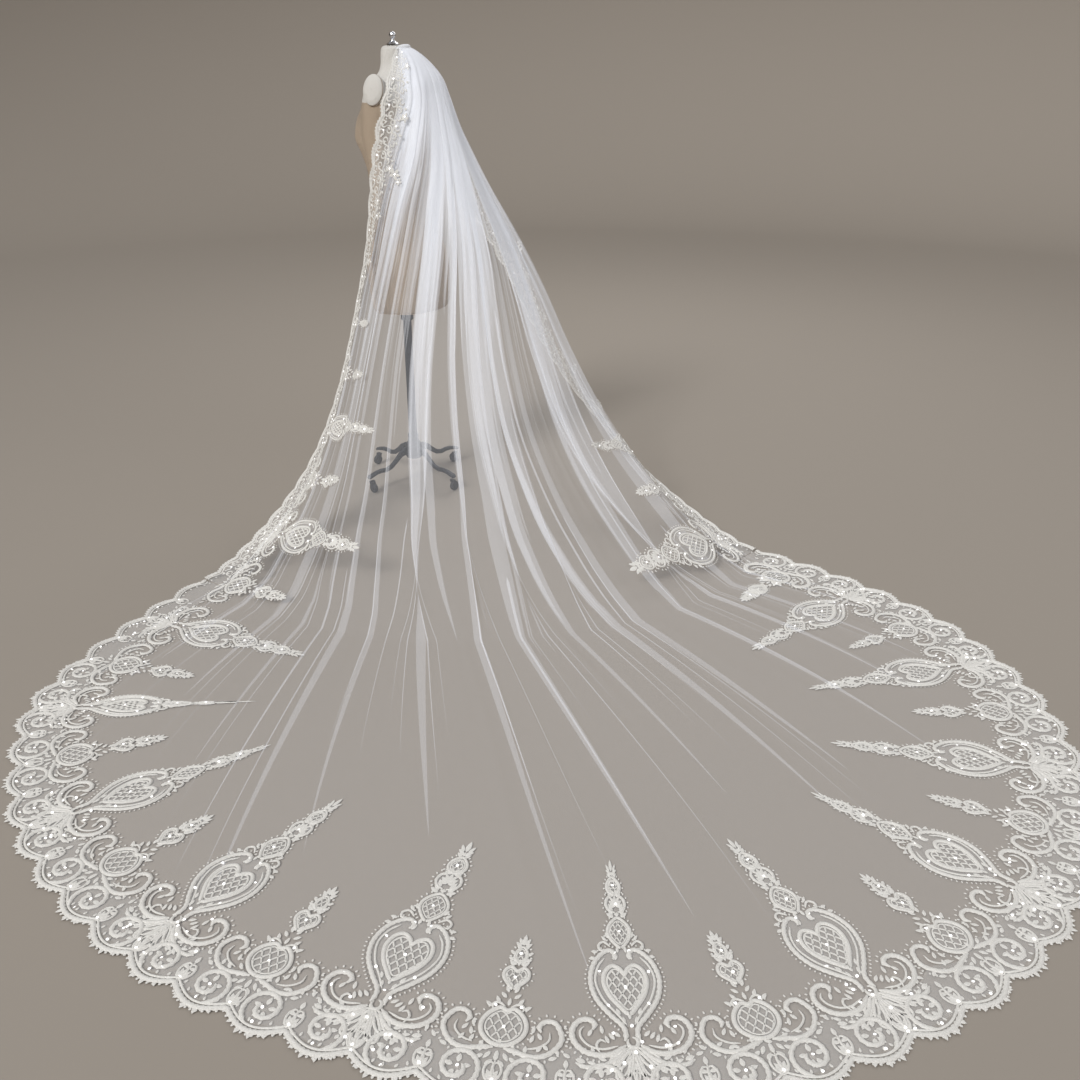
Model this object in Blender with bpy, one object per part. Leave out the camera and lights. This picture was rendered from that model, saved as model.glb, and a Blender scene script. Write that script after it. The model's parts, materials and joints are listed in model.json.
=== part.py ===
"""Cathedral bridal veil spread out from a limbless dress form.

Metres, +Z up. The stand and the spread train rest on the plane z = 0.
Directions round the pole are given in degrees: 0 points along -Y, +90 along +X.
"""
import bpy
import math
import numpy as np

for ob in list(bpy.data.objects):
    bpy.data.objects.remove(ob, do_unlink=True)

# ---------------------------------------------------------------- sizes
POLE = (-0.503, 1.34422)      # x, y of the pole's axis
FACING = -113.0              # direction that the dress form faces
WALL = 0.001                 # tulle and lace wall
GAP = 0.0003                 # clearance between pieces that lie on each other
BAND = 0.08                  # share of the cut taken by each edge's lace band
FLOOR_ROWS = 7               # sections from touchdown to hem
HEM_INSET = 0.030            # the net stops this far inside the lace's scallops
SCALLOP_TRIM = 0.085         # scallop pitch on the narrow front lace
SCALLOP_TRIM_DEPTH = 0.014
REPEAT = 0.52                # pitch of the large lace motifs on the train
FIRST_MOTIF = 0.79           # distance along the train's edge to a large motif
SCALLOP_TRAIN_DEPTH = 0.026

# One row for each section of the hanging veil, from the comb to the touchdown.
# dir_* and rad_*: direction and distance from the pole at the left edge, the
# middle, the right flank and the right edge. fold: how far the pleats overlap.
# depth: height of a pleat. lace: width of the edge lace.
SECTIONS = ("z", "dir_l", "dir_m", "dir_f", "dir_r", "rad_l", "rad_m", "rad_f", "rad_r",
            "fold", "depth", "lace")
SECTION_ROWS = [
    (1.590,  20, 60, 115, 132, 0.058, 0.058, 0.058, 0.058, 0.00, 0.0000, 0.018),
    (1.575,  14, 60, 118, 135, 0.074, 0.084, 0.080, 0.070, 0.12, 0.0020, 0.028),
    (1.545,   6, 58, 116, 133, 0.102, 0.120, 0.114, 0.098, 0.35, 0.0040, 0.045),
    (1.490,   0, 54, 112, 130, 0.142, 0.162, 0.160, 0.142, 0.60, 0.0060, 0.060),
    (1.430,  -3, 50, 107, 125, 0.172, 0.184, 0.182, 0.166, 0.80, 0.0075, 0.070),
    (1.340, -14, 44, 103, 123, 0.176, 0.216, 0.210, 0.182, 0.90, 0.0095, 0.080),
    (1.240, -22, 38,  98, 119, 0.178, 0.256, 0.256, 0.208, 1.00, 0.0110, 0.085),
    (1.120, -28, 30,  92, 116, 0.180, 0.310, 0.318, 0.240, 1.00, 0.0120, 0.090),
    (0.950, -31, 22,  82, 106, 0.205, 0.395, 0.424, 0.320, 1.00, 0.0130, 0.090),
    (0.780, -32, 16,  72,  97, 0.268, 0.490, 0.536, 0.410, 0.95, 0.0140, 0.090),
    (0.600, -32, 12,  65,  90, 0.342, 0.610, 0.652, 0.495, 0.88, 0.0150, 0.095),
    (0.430, -32, 10,  60,  84, 0.430, 0.750, 0.786, 0.610, 0.78, 0.0160, 0.110),
    (0.280, -32,  9,  57,  77, 0.545, 0.900, 0.945, 0.765, 0.62, 0.0160, 0.130),
    (0.160, -32,  8,  55,  70, 0.690, 1.045, 1.115, 0.950, 0.45, 0.0130, 0.150),
    (0.075, -32,  8,  53,  65, 0.860, 1.170, 1.275, 1.150, 0.28, 0.0080, 0.160),
    (0.025, -32,  8,  52,  62, 0.985, 1.260, 1.395, 1.310, 0.12, 0.0030, 0.170),
    (0.000, -32,  8,  51,  60, 1.110, 1.340, 1.490, 1.440, 0.00, 0.0000, 0.170),
]
STATIONS = (0.0, 0.4, 0.85, 1.0)             # share of the width for l, m, f, r

# The hem as spread on the floor: direction and distance from the pole.
HEM_DIR_AT_STATION = (-27.0, 9.0, 45.0, 55.0)
HEM = [
    (-27, 1.900), (-24, 2.020), (-21, 2.140), (-18, 2.260), (-14, 2.380), (-9, 2.520),
    (-3, 2.665), (3, 2.785), (9, 2.900), (15, 2.975), (21, 3.000), (27, 2.985),
    (32, 2.940), (38, 2.840), (44, 2.660), (49, 2.470), (53, 2.260), (55, 2.140),
]

# One row for each large pleat, from the left edge to the right one: where it
# starts and ends as a share of the cut, and how strongly it doubles back.
PLEATS = [
    (0.080, 0.165, 1.8),
    (0.165, 0.260, 2.8),
    (0.330, 0.440, 3.6),
    (0.440, 0.503, 2.6),
    (0.503, 0.570, 3.2),
    (0.570, 0.637, 3.2),
    (0.707, 0.823, 3.8),
    (0.823, 0.920, 2.4),
]
PLEAT_STEPS = (-1.0, -0.70, -0.45, -0.22, 0.0, 0.22, 0.45, 0.70)

# Dress form: one row for each ring. half: to the arm side, front and back
# depths, and how far the bust stands out.
TORSO_RINGS = ("z", "half", "front", "back", "bust")
TORSO_ROWS = [
    (0.700, 0.164, 0.088, 0.150, 0.000),
    (0.708, 0.169, 0.092, 0.155, 0.000),
    (0.752, 0.175, 0.100, 0.160, 0.000),
    (0.815, 0.177, 0.107, 0.161, 0.000),
    (0.880, 0.175, 0.112, 0.152, 0.000),
    (0.960, 0.159, 0.108, 0.128, 0.000),
    (1.040, 0.137, 0.102, 0.106, 0.000),
    (1.118, 0.122, 0.095, 0.094, 0.000),
    (1.190, 0.127, 0.100, 0.096, 0.004),
    (1.250, 0.137, 0.106, 0.102, 0.016),
    (1.300, 0.145, 0.110, 0.107, 0.030),
    (1.350, 0.151, 0.108, 0.111, 0.024),
    (1.400, 0.156, 0.099, 0.112, 0.008),
    (1.438, 0.155, 0.086, 0.107, 0.000),
    (1.464, 0.140, 0.074, 0.097, 0.000),
    (1.486, 0.108, 0.064, 0.083, 0.000),
    (1.503, 0.075, 0.055, 0.065, 0.000),
    (1.520, 0.055, 0.047, 0.052, 0.000),
    (1.545, 0.046, 0.043, 0.045, 0.000),
    (1.575, 0.044, 0.041, 0.043, 0.000),
    (1.590, 0.041, 0.038, 0.040, 0.000),
    (1.598, 0.030, 0.028, 0.030, 0.000),
]
RING_POINTS = 36

ARM_Z, ARM_R, ARM_TILT = 1.426, 0.044, 14.0
POLE_R = 0.0160
HUB_TOP, HUB_BOTTOM = 0.185, 0.085
LEG_REACH = 0.222
LEG_DIRS = (-43.0, 47.0, 137.0, -133.0)
WHEEL_R, WHEEL_W, TRAIL = 0.0190, 0.0140, 0.0110


# ---------------------------------------------------------------- helpers
def curve_through(xs, ys, x):
    """Smooth curve without overshoot through the points (xs, ys)."""
    xs, ys, x = np.asarray(xs, float), np.asarray(ys, float), np.asarray(x, float)
    h = np.diff(xs)
    d = np.diff(ys) / h
    m = np.empty(len(xs))
    m[0], m[-1] = d[0], d[-1]
    for i in range(1, len(xs) - 1):
        if d[i - 1] * d[i] <= 0:
            m[i] = 0.0
        else:
            a, b = 2 * h[i] + h[i - 1], h[i] + 2 * h[i - 1]
            m[i] = (a + b) / (a / d[i - 1] + b / d[i])
    k = np.clip(np.searchsorted(xs, x, side="right") - 1, 0, len(h) - 1)
    t = (x - xs[k]) / h[k]
    return ((2 * t**3 - 3 * t**2 + 1) * ys[k] + (t**3 - 2 * t**2 + t) * h[k] * m[k]
            + (3 * t**2 - 2 * t**3) * ys[k + 1] + (t**3 - t**2) * h[k] * m[k + 1])


AIR = len(SECTION_ROWS) - 1
COLUMN = {name: np.array([row[i] for row in SECTION_ROWS]) for i, name in enumerate(SECTIONS)}
HEM_DIRS = [row[0] for row in HEM]
HEM_RADII = [row[1] - HEM_INSET for row in HEM]


def at_row(name, t):
    return float(curve_through(np.arange(AIR + 1), COLUMN[name], min(t, AIR)))


def polar(direction, radius, z=0.0):
    a = math.radians(direction)
    return np.array([POLE[0] + radius * math.sin(a), POLE[1] - radius * math.cos(a), z])


def base_point(q, t):
    """The veil without its pleats. q: 0 at the left edge, 1 at the right one."""
    dirs = [at_row(n, t) for n in ("dir_l", "dir_m", "dir_f", "dir_r")]
    rads = [at_row(n, t) for n in ("rad_l", "rad_m", "rad_f", "rad_r")]
    direction = float(curve_through(STATIONS, dirs, q))
    radius = float(curve_through(STATIONS, rads, q))
    if t <= AIR:
        return polar(direction, radius, at_row("z", t) + WALL / 2)
    f = (t - AIR) / FLOOR_ROWS
    hem_dir = float(curve_through(STATIONS, HEM_DIR_AT_STATION, q))
    hem_rad = float(curve_through(HEM_DIRS, HEM_RADII, hem_dir))
    return polar(direction + (hem_dir - direction) * f**1.5,
                 radius + (hem_rad - radius) * f, WALL / 2)


def width_at(t):
    pts = [base_point(q, t) for q in np.linspace(0, 1, 25)]
    return sum(np.linalg.norm(b - a) for a, b in zip(pts, pts[1:]))


def band_share(t, width):
    lace = at_row("lace", t)
    return min(lace, 0.22 * width) / width


def place(w, t, share):
    """Point and outward normal of the pleated veil at share w of the cut."""
    push, lift = 0.0, 0.0
    fold, depth = at_row("fold", t), at_row("depth", t)
    if t > AIR:
        fold = depth = 0.0
    for start, end, strength in PLEATS:
        if start < w < end:
            half = (end - start) / 2
            x = (w - (start + end) / 2) / half
            push = -fold * strength * half / math.pi * math.sin(math.pi * x)
            lift = -depth * math.sin(math.pi * x)
    v = w + push
    if v < BAND:
        q = v / BAND * share
    elif v > 1 - BAND:
        q = 1 - (1 - v) / BAND * share
    else:
        q = share + (v - BAND) / (1 - 2 * BAND) * (1 - 2 * share)
    p = base_point(q, t)
    if t > AIR:
        return p, np.array([0.0, 0.0, 1.0])
    e = 1e-3
    across = base_point(min(q + e, 1), t) - base_point(max(q - e, 0), t)
    down = base_point(q, min(t + 0.02, AIR)) - base_point(q, max(t - 0.02, 0))
    n = np.cross(down, across)
    n /= np.linalg.norm(n)
    return p + n * lift, n


def grid_normals(grid):
    """Vertex normals of a grid of points, facing out."""
    rows, cols = grid.shape[:2]
    n = np.zeros_like(grid)
    for i in range(rows - 1):
        for j in range(cols - 1):
            a, b, c, d = grid[i, j], grid[i, j + 1], grid[i + 1, j + 1], grid[i + 1, j]
            f = np.cross(c - a, b - d)
            f /= max(np.linalg.norm(f), 1e-12)
            for k in ((i, j), (i, j + 1), (i + 1, j + 1), (i + 1, j)):
                n[k] += f
    return n / np.linalg.norm(n, axis=2)[..., None]


def material(name, colour, roughness, metallic=0.0):
    m = bpy.data.materials.get(name) or bpy.data.materials.new(name)
    m.use_nodes = True
    p = m.node_tree.nodes["Principled BSDF"]
    p.inputs["Base Color"].default_value = (*colour, 1.0)
    p.inputs["Roughness"].default_value = roughness
    p.inputs["Metallic"].default_value = metallic
    return m


def add(name, verts, faces, mat, origin=(0.0, 0.0, 0.0)):
    o = np.asarray(origin, float)
    me = bpy.data.meshes.new(name)
    me.from_pydata([tuple(np.asarray(v) - o) for v in verts], [], faces)
    me.update()
    ob = bpy.data.objects.new(name, me)
    ob.location = origin
    bpy.context.scene.collection.objects.link(ob)
    me.materials.append(mat)
    return ob


def thick_faces(points, normals, faces, low, high):
    """Vertices and faces of a closed wall on a sheet of faces."""
    n = len(points)
    verts = [p + m * high for p, m in zip(points, normals)]
    verts += [p + m * low for p, m in zip(points, normals)]
    out = [tuple(f) for f in faces] + [tuple(i + n for i in reversed(f)) for f in faces]
    edges = {(f[i], f[(i + 1) % len(f)]) for f in faces for i in range(len(f))}
    for a, b in edges:
        if (b, a) not in edges:
            out.append((b, a, a + n, b + n))
    return verts, out


def lathe(profile, centre, points=32, axis="z", direction=0.0):
    """Closed solid turned from (radius, height) rows; the ends are capped."""
    verts, faces = [], []
    d = math.radians(direction)
    for r, h in profile:
        for k in range(points):
            a = 2 * math.pi * k / points
            u, v = r * math.cos(a), r * math.sin(a)
            if axis == "z":
                p = np.array([u, v, h])
            else:                             # axis points along direction
                p = (h * np.array([math.sin(d), -math.cos(d), 0.0])
                     + u * np.array([math.cos(d), math.sin(d), 0.0])
                     + v * np.array([0.0, 0.0, 1.0]))
            verts.append(np.asarray(centre, float) + p)
    n = len(profile)
    for i in range(n - 1):
        for k in range(points):
            a, b = i * points + k, i * points + (k + 1) % points
            q = (a, b, b + points, a + points)
            faces.append(q)
    faces.append(tuple(reversed(range(points))))
    faces.append(tuple(range((n - 1) * points, n * points)))
    if axis != "z":
        faces = [tuple(reversed(f)) for f in faces]
        flip = np.dot(np.cross([math.cos(d), math.sin(d), 0], [0, 0, 1]),
                      [math.sin(d), -math.cos(d), 0])
        if flip > 0:
            faces = [tuple(reversed(f)) for f in faces]
    return verts, faces


# ---------------------------------------------------------------- materials
TULLE = material("tulle", (0.86, 0.88, 0.93), 0.75)
LACE = material("lace", (0.86, 0.83, 0.77), 0.65)
RIBBON = material("ribbon", (0.88, 0.86, 0.82), 0.40)
COMB = material("comb_metal", (0.75, 0.75, 0.77), 0.30, 1.0)
LINEN = material("linen", (0.55, 0.42, 0.31), 0.85)
CREAM = material("cream_cover", (0.78, 0.74, 0.66), 0.75)
CHROME = material("chrome", (0.75, 0.76, 0.78), 0.15, 1.0)
IRON = material("dark_iron", (0.035, 0.037, 0.042), 0.50, 0.6)
TYRE = material("caster_rubber", (0.02, 0.02, 0.022), 0.70)

# ---------------------------------------------------------------- tulle panel
shares = [0.0, BAND / 2]
for k, (start, end, strength) in enumerate(PLEATS):
    if k and start - PLEATS[k - 1][1] > 1e-6:
        shares += [PLEATS[k - 1][1], (start + PLEATS[k - 1][1]) / 2]
    mid, half = (start + end) / 2, (end - start) / 2
    shares += [mid + half * x for x in PLEAT_STEPS]
shares += [1 - BAND, 1 - BAND / 2, 1.0]
rows_t = list(range(AIR + 1)) + [AIR + k + 1 for k in range(FLOOR_ROWS)]

grid, out_dir = [], []
for t in rows_t:
    share = band_share(t, width_at(t))
    line = [place(w, t, share) for w in shares]
    grid.append([p for p, n in line])
    out_dir.append([n for p, n in line])
grid = np.array(grid)
normals = grid_normals(grid)
normals[AIR:] = (0.0, 0.0, 1.0)              # the train lies flat
grid[AIR:, :, 2] = WALL / 2
ROWS, COLS = grid.shape[:2]


def cell_faces(rows, cols, index):
    """Two triangles for each cell, split the same way on every piece."""
    faces = []
    for i in rows:
        for j in cols:
            a, b, c, d = index(i, j), index(i + 1, j), index(i + 1, j + 1), index(i, j + 1)
            faces += [(a, b, c), (a, c, d)]
    return faces


flat_pts = grid.reshape(-1, 3)
flat_nrm = normals.reshape(-1, 3)
panel_faces = cell_faces(range(ROWS - 1), range(COLS - 1), lambda i, j: i * COLS + j)
v, f = thick_faces(flat_pts, flat_nrm, panel_faces, -WALL / 2, WALL / 2)
add("veil_tulle", v, f, TULLE)

# ---------------------------------------------------------------- front lace
LACE_LOW = WALL / 2 + GAP
LACE_HIGH = LACE_LOW + WALL


def front_lace(name, columns, last_row):
    """Edge lace on the hanging part, on the net's own points, with scallops."""
    edge, inner = columns[0], columns[-1]
    pts, nrm, faces, ids = [], [], [], {}

    def vertex(key, p, n):
        if key not in ids:
            ids[key] = len(pts)
            pts.append(p)
            nrm.append(n)
        return ids[key]

    def node(i, j):
        return vertex((i, j), grid[i, j], normals[i, j])

    flip = edge > inner
    run = 0.0
    faces += cell_faces(range(last_row), sorted(columns)[:-1], node)
    for i in range(last_row):
        p0, p1 = grid[i, edge], grid[i + 1, edge]
        o0 = p0 - grid[i, columns[1]]
        o1 = p1 - grid[i + 1, columns[1]]
        o0, o1 = o0 / np.linalg.norm(o0), o1 / np.linalg.norm(o1)
        length = np.linalg.norm(p1 - p0)
        steps = max(2, round(length / (SCALLOP_TRIM / 3)))
        ring = []
        for k in range(steps + 1):
            s = k / steps
            reach = 0.002 + SCALLOP_TRIM_DEPTH * abs(math.sin(math.pi * (run + s * length) / SCALLOP_TRIM))
            p = p0 + (p1 - p0) * s + (o0 + (o1 - o0) * s) * reach
            n = normals[i, edge] + (normals[i + 1, edge] - normals[i, edge]) * s
            key = ("out", i, k) if k < steps else ("out", i + 1, 0)
            ring.append(vertex(key, p, n / np.linalg.norm(n)))
        run += length
        poly = [node(i + 1, edge), node(i, edge)]
        half = steps // 2
        fan = [(poly[1], ring[k], ring[k + 1]) for k in range(half)]
        fan += [(poly[0], ring[k], ring[k + 1]) for k in range(half, steps)]
        fan.append((poly[1], ring[half], poly[0]))
        for tri in fan:
            faces.append(tuple(reversed(tri)) if flip else tri)
    v, f = thick_faces(pts, nrm, faces, LACE_LOW, LACE_HIGH)
    return add(name, v, f, LACE)


front_lace("lace_front_left", [0, 1, 2], AIR)
front_lace("lace_front_right", [COLS - 1, COLS - 2, COLS - 3], AIR)

# ---------------------------------------------------------------- train lace
def resample(path, step, phase):
    """Points along a path, a step apart, with one at the phase."""
    path = np.asarray(path, float)
    run = np.concatenate([[0], np.cumsum(np.linalg.norm(np.diff(path, axis=0), axis=1))])
    first = phase - math.floor(phase / step) * step
    at = [x for x in np.arange(first, run[-1], step) if step / 2 < x < run[-1] - step / 2]
    at = np.array([0.0] + at + [run[-1]])
    return np.stack([np.interp(at, run, path[:, k]) for k in range(path.shape[1])], axis=1), at


outline = [grid[i, 0, :2] for i in range(AIR, ROWS)]
outline += [grid[ROWS - 1, j, :2] for j in range(1, COLS - 1)]
outline += [grid[i, COLS - 1, :2] for i in range(ROWS - 1, AIR - 1, -1)]
edge_line, edge_run = resample(outline, REPEAT / 12, FIRST_MOTIF)
for _ in range(6):                            # ease the two corners of the hem
    edge_line[1:-1] = (edge_line[:-2] + 2 * edge_line[1:-1] + edge_line[2:]) / 4
heading = np.gradient(edge_line, axis=0)
heading /= np.linalg.norm(heading, axis=1)[:, None]
inward = np.stack([-heading[:, 1], heading[:, 0]], axis=1)
for end, edge, inner in ((0, 0, 2), (-1, COLS - 1, COLS - 3)):   # meet the front lace
    line = grid[AIR, inner, :2] - grid[AIR, edge, :2]
    line /= np.linalg.norm(line)
    for k in range(6):
        at = k if end == 0 else len(inward) - 1 - k
        mix = line * (1 - k / 6) + inward[at] * (k / 6)
        inward[at] = mix / np.linalg.norm(mix)


def lobe(s):
    """Depth of the train lace at distance s along the edge."""
    turn = (s - FIRST_MOTIF) / REPEAT
    big = abs((turn + 0.5) % 1.0 - 0.5) * REPEAT
    small = abs(turn % 1.0 - 0.5) * REPEAT
    depth = 0.165
    if big < 0.090:
        depth = max(depth, 0.58 - 0.28 * (big / 0.0867)**2)
    if small < 0.050:
        depth = max(depth, 0.36 - 0.14 * (small / 0.0433)**2)
    return depth


end_ease = 0.10
lace_pts, lace_faces = [], []
for k, (p, s) in enumerate(zip(edge_line, edge_run)):
    near_end = min(s, edge_run[-1] - s)
    reach = 0.004 + SCALLOP_TRAIN_DEPTH * abs(math.sin(4 * math.pi * (s - FIRST_MOTIF) / REPEAT))
    deep = lobe(s) if near_end > end_ease else 0.165
    for d in (-reach, 0.150, deep):
        q = p + inward[k] * d
        lace_pts.append(np.array([q[0], q[1], 0.0]))
start_clear = GAP + 0.0005
for k, sign, cols in ((0, 1, (0, 1, 2)),      # clear of the front lace
                      (len(edge_line) - 1, -1, (COLS - 1, COLS - 2, COLS - 3))):
    a, b, c = (grid[AIR, j, :2] for j in cols)
    tip = a + (a - b) / np.linalg.norm(a - b) * 0.006
    for m, q in enumerate((tip, b, c)):
        lace_pts[3 * k + m][:2] = q + sign * heading[k] * start_clear
for k in range(len(edge_line) - 1):
    for m in range(2):
        a, b = 3 * k + m, 3 * (k + 1) + m
        lace_faces.append((a, b, b + 1, a + 1))
up = [np.array([0.0, 0.0, 1.0])] * len(lace_pts)
v, f = thick_faces(lace_pts, up, lace_faces, WALL + GAP, 2 * WALL + GAP)
add("lace_train", v, f, LACE)

# ---------------------------------------------------------------- gathered top
def arc_strip(name, radius, lows, highs, thick, dirs, mat):
    pts, nrm, faces = [], [], []
    for d, lo, hi in zip(dirs, lows, highs):
        a = math.radians(d)
        n = np.array([math.sin(a), -math.cos(a), 0.0])
        for z in (lo, hi):
            pts.append(polar(d, radius, z))
            nrm.append(n)
    for k in range(len(dirs) - 1):
        faces.append((2 * k, 2 * k + 2, 2 * k + 3, 2 * k + 1))
    v, f = thick_faces(pts, nrm, faces, 0.0, thick)
    return add(name, v, f, mat)


top_r = SECTION_ROWS[0][5]
ribbon_dirs = np.linspace(16, 136, 25)
arc_strip("gather_ribbon", top_r - 0.0040, [1.5860] * 25, [1.5975] * 25, 0.0024, ribbon_dirs, RIBBON)

# comb: a curved bar with teeth that point down, behind the neck
comb_dirs, comb_low = [], []
TEETH, TOOTH = 13, 3.2
for k in range(TEETH):
    mid = 26 + k * (126 - 26) / (TEETH - 1)
    for off, low in ((-TOOTH / 2, 1), (TOOTH / 2, 1)):
        comb_dirs.append(mid + off)
pts, nrm, faces = [], [], []
for d in comb_dirs:
    a = math.radians(d)
    for z in (1.5940, 1.5860, 1.5500):
        pts.append(polar(d, top_r - 0.0070, z))
        nrm.append(np.array([math.sin(a), -math.cos(a), 0.0]))
for k in range(len(comb_dirs) - 1):
    a, b = 3 * k, 3 * k + 3
    faces.append((a, a + 1, b + 1, b))
    if k % 2 == 0:
        faces.append((a + 1, a + 2, b + 2, b + 1))
v, f = thick_faces(pts, nrm, faces, 0.0, 0.0022)
add("veil_comb", v, f, COMB)

# ---------------------------------------------------------------- dress form
FACE_DIR = np.array([math.sin(math.radians(FACING)), -math.cos(math.radians(FACING)), 0.0])
SIDE_DIR = np.array([FACE_DIR[1], -FACE_DIR[0], 0.0])


def torso_ring(row, grow=0.0):
    z, half, front, back, bust = row
    pts = []
    for k in range(RING_POINTS):
        a = 2 * math.pi * k / RING_POINTS
        c, s = math.cos(a), math.sin(a)
        reach = front if c > 0 else back
        r = (abs(c / reach)**2.25 + abs(s / half)**2.25)**(-1 / 2.25)
        for centre in (math.radians(30), -math.radians(30)):
            gap = (a - centre + math.pi) % (2 * math.pi) - math.pi
            r += bust * math.exp(-(gap / math.radians(17))**2)
        r += grow
        pts.append(np.array([POLE[0], POLE[1], z]) + r * (c * FACE_DIR + s * SIDE_DIR))
    return pts


def torso_mesh(grow=0.0):
    verts, faces = [], []
    rows = TORSO_ROWS
    for row in rows:
        verts += torso_ring(row, grow)
    n = RING_POINTS
    for i in range(len(rows) - 1):
        for k in range(n):
            a, b = i * n + k, i * n + (k + 1) % n
            faces.append((a, a + n, b + n, b))
    faces.append(tuple(range(n)))
    faces.append(tuple(reversed(range((len(rows) - 1) * n, len(rows) * n))))
    return verts, faces


v, f = torso_mesh()
torso = add("form_torso", v, f, LINEN)

v, f = torso_mesh(0.0015)
cutter = add("torso_guide", v, f, LINEN)
cutter.hide_render = True
cutter.display_type = "WIRE"

for name, sign in (("form_arm_plate_left", 1), ("form_arm_plate_right", -1)):
    side = SIDE_DIR * sign
    if name.endswith("left") and side[1] > 0:
        side = -side
    if name.endswith("right") and side[1] < 0:
        side = -side
    tilt = math.radians(ARM_TILT)
    out = side * math.cos(tilt) + np.array([0, 0, math.sin(tilt)])
    upv = np.array([0, 0, math.cos(tilt)]) - side * math.sin(tilt)
    along = np.cross(upv, out)
    base = np.array([POLE[0], POLE[1], ARM_Z])
    profile = [(0.036, 0.110), (ARM_R, 0.126), (ARM_R, 0.150), (ARM_R - 0.003, 0.1570),
               (ARM_R - 0.012, 0.1625), (ARM_R - 0.026, 0.1650)]
    verts, faces, m = [], [], 28
    for r, h in profile:
        for k in range(m):
            a = 2 * math.pi * k / m
            verts.append(base + out * h + along * r * math.cos(a) * 0.86 + upv * r * math.sin(a) * 1.05)
    for i in range(len(profile) - 1):
        for k in range(m):
            a, b = i * m + k, i * m + (k + 1) % m
            faces.append((a, b, b + m, a + m))
    faces.append(tuple(reversed(range(m))))
    faces.append(tuple(range((len(profile) - 1) * m, len(profile) * m)))
    plate = add(name, verts, faces, CREAM)
    cut = plate.modifiers.new("seat", "BOOLEAN")
    cut.operation = "DIFFERENCE"
    cut.solver = "EXACT"
    cut.object = cutter

v, f = lathe([(0.0200, 1.5985), (0.0215, 1.6000), (0.0215, 1.6035), (0.0170, 1.6060),
              (0.0125, 1.6085), (0.0100, 1.6115), (0.0090, 1.6140), (0.0060, 1.6150)],
             (POLE[0], POLE[1], 0), 32)
add("form_neck_cap", v, f, CHROME)
ball = [(0.0045, 1.6154), (0.0048, 1.6172)]
for k in range(0, 10):
    a = math.radians(-62 + k * 15.5)
    ball.append((0.0122 * math.cos(a), 1.6293 + 0.0122 * math.sin(a)))
v, f = lathe(ball, (POLE[0], POLE[1], 0), 24)
add("form_finial", v, f, CHROME)

v, f = lathe([(0.060, 0.6840), (0.062, 0.6860), (0.062, 0.6975), (0.060, 0.6995)],
             (POLE[0], POLE[1], 0), 32)
add("form_mount_plate", v, f, IRON)
v, f = lathe([(0.0220, 0.6450), (0.0240, 0.6470), (0.0240, 0.6815), (0.0220, 0.6835)],
             (POLE[0], POLE[1], 0), 28)
add("stand_collar", v, f, IRON)
v, f = lathe([(POLE_R, HUB_TOP + 0.0004), (POLE_R, 0.6446)], (POLE[0], POLE[1], 0), 28)
add("stand_pole", v, f, IRON)
v, f = lathe([(0.0200, HUB_BOTTOM), (0.0300, 0.0880), (0.0330, 0.0960), (0.0330, 0.1380),
              (0.0290, 0.1460), (0.0225, 0.1540), (0.0200, 0.1660), (0.0215, 0.1780),
              (0.0200, HUB_TOP)], (POLE[0], POLE[1], 0), 32)
add("stand_hub", v, f, IRON)

# cast legs: one row for each section, from the hub to the caster pad
LEG_SECTIONS = ("reach", "z", "half_width", "half_height")
LEG_ROWS = [
    (0.0336, 0.1170, 0.0085, 0.0180),
    (0.0480, 0.1210, 0.0080, 0.0160),
    (0.0700, 0.1130, 0.0075, 0.0120),
    (0.0950, 0.0930, 0.0072, 0.0100),
    (0.1200, 0.0760, 0.0072, 0.0095),
    (0.1450, 0.0700, 0.0075, 0.0090),
    (0.1700, 0.0730, 0.0080, 0.0085),
    (0.1950, 0.0720, 0.0095, 0.0075),
    (LEG_REACH + 0.006, 0.0640, 0.0120, 0.0060),
    (LEG_REACH + 0.014, 0.0590, 0.0080, 0.0050),
]
PAD_BOTTOM = 0.0500


def leg_mesh(direction):
    a = math.radians(direction)
    out = np.array([math.sin(a), -math.cos(a), 0.0])
    side = np.array([math.cos(a), math.sin(a), 0.0])
    verts, faces, m = [], [], 10
    rows = LEG_ROWS
    for i, (reach, z, hw, hh) in enumerate(rows):
        nxt, prv = rows[min(i + 1, len(rows) - 1)], rows[max(i - 1, 0)]
        slope = math.atan2(nxt[1] - prv[1], nxt[0] - prv[0]) if i else 0.0
        upv = -math.sin(slope) * out + math.cos(slope) * np.array([0, 0, 1.0])
        c = np.array([POLE[0], POLE[1], z]) + out * reach
        for k in range(m):
            b = 2 * math.pi * k / m
            cb, sb = math.cos(b), math.sin(b)
            verts.append(c + side * hw * math.copysign(abs(cb)**0.7, cb)
                         + upv * hh * math.copysign(abs(sb)**0.7, sb))
    for i in range(len(rows) - 1):
        for k in range(m):
            p, q = i * m + k, i * m + (k + 1) % m
            faces.append((p, q, q + m, p + m))
    faces.append(tuple(reversed(range(m))))
    faces.append(tuple(range((len(rows) - 1) * m, len(rows) * m)))
    return verts, faces


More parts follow.
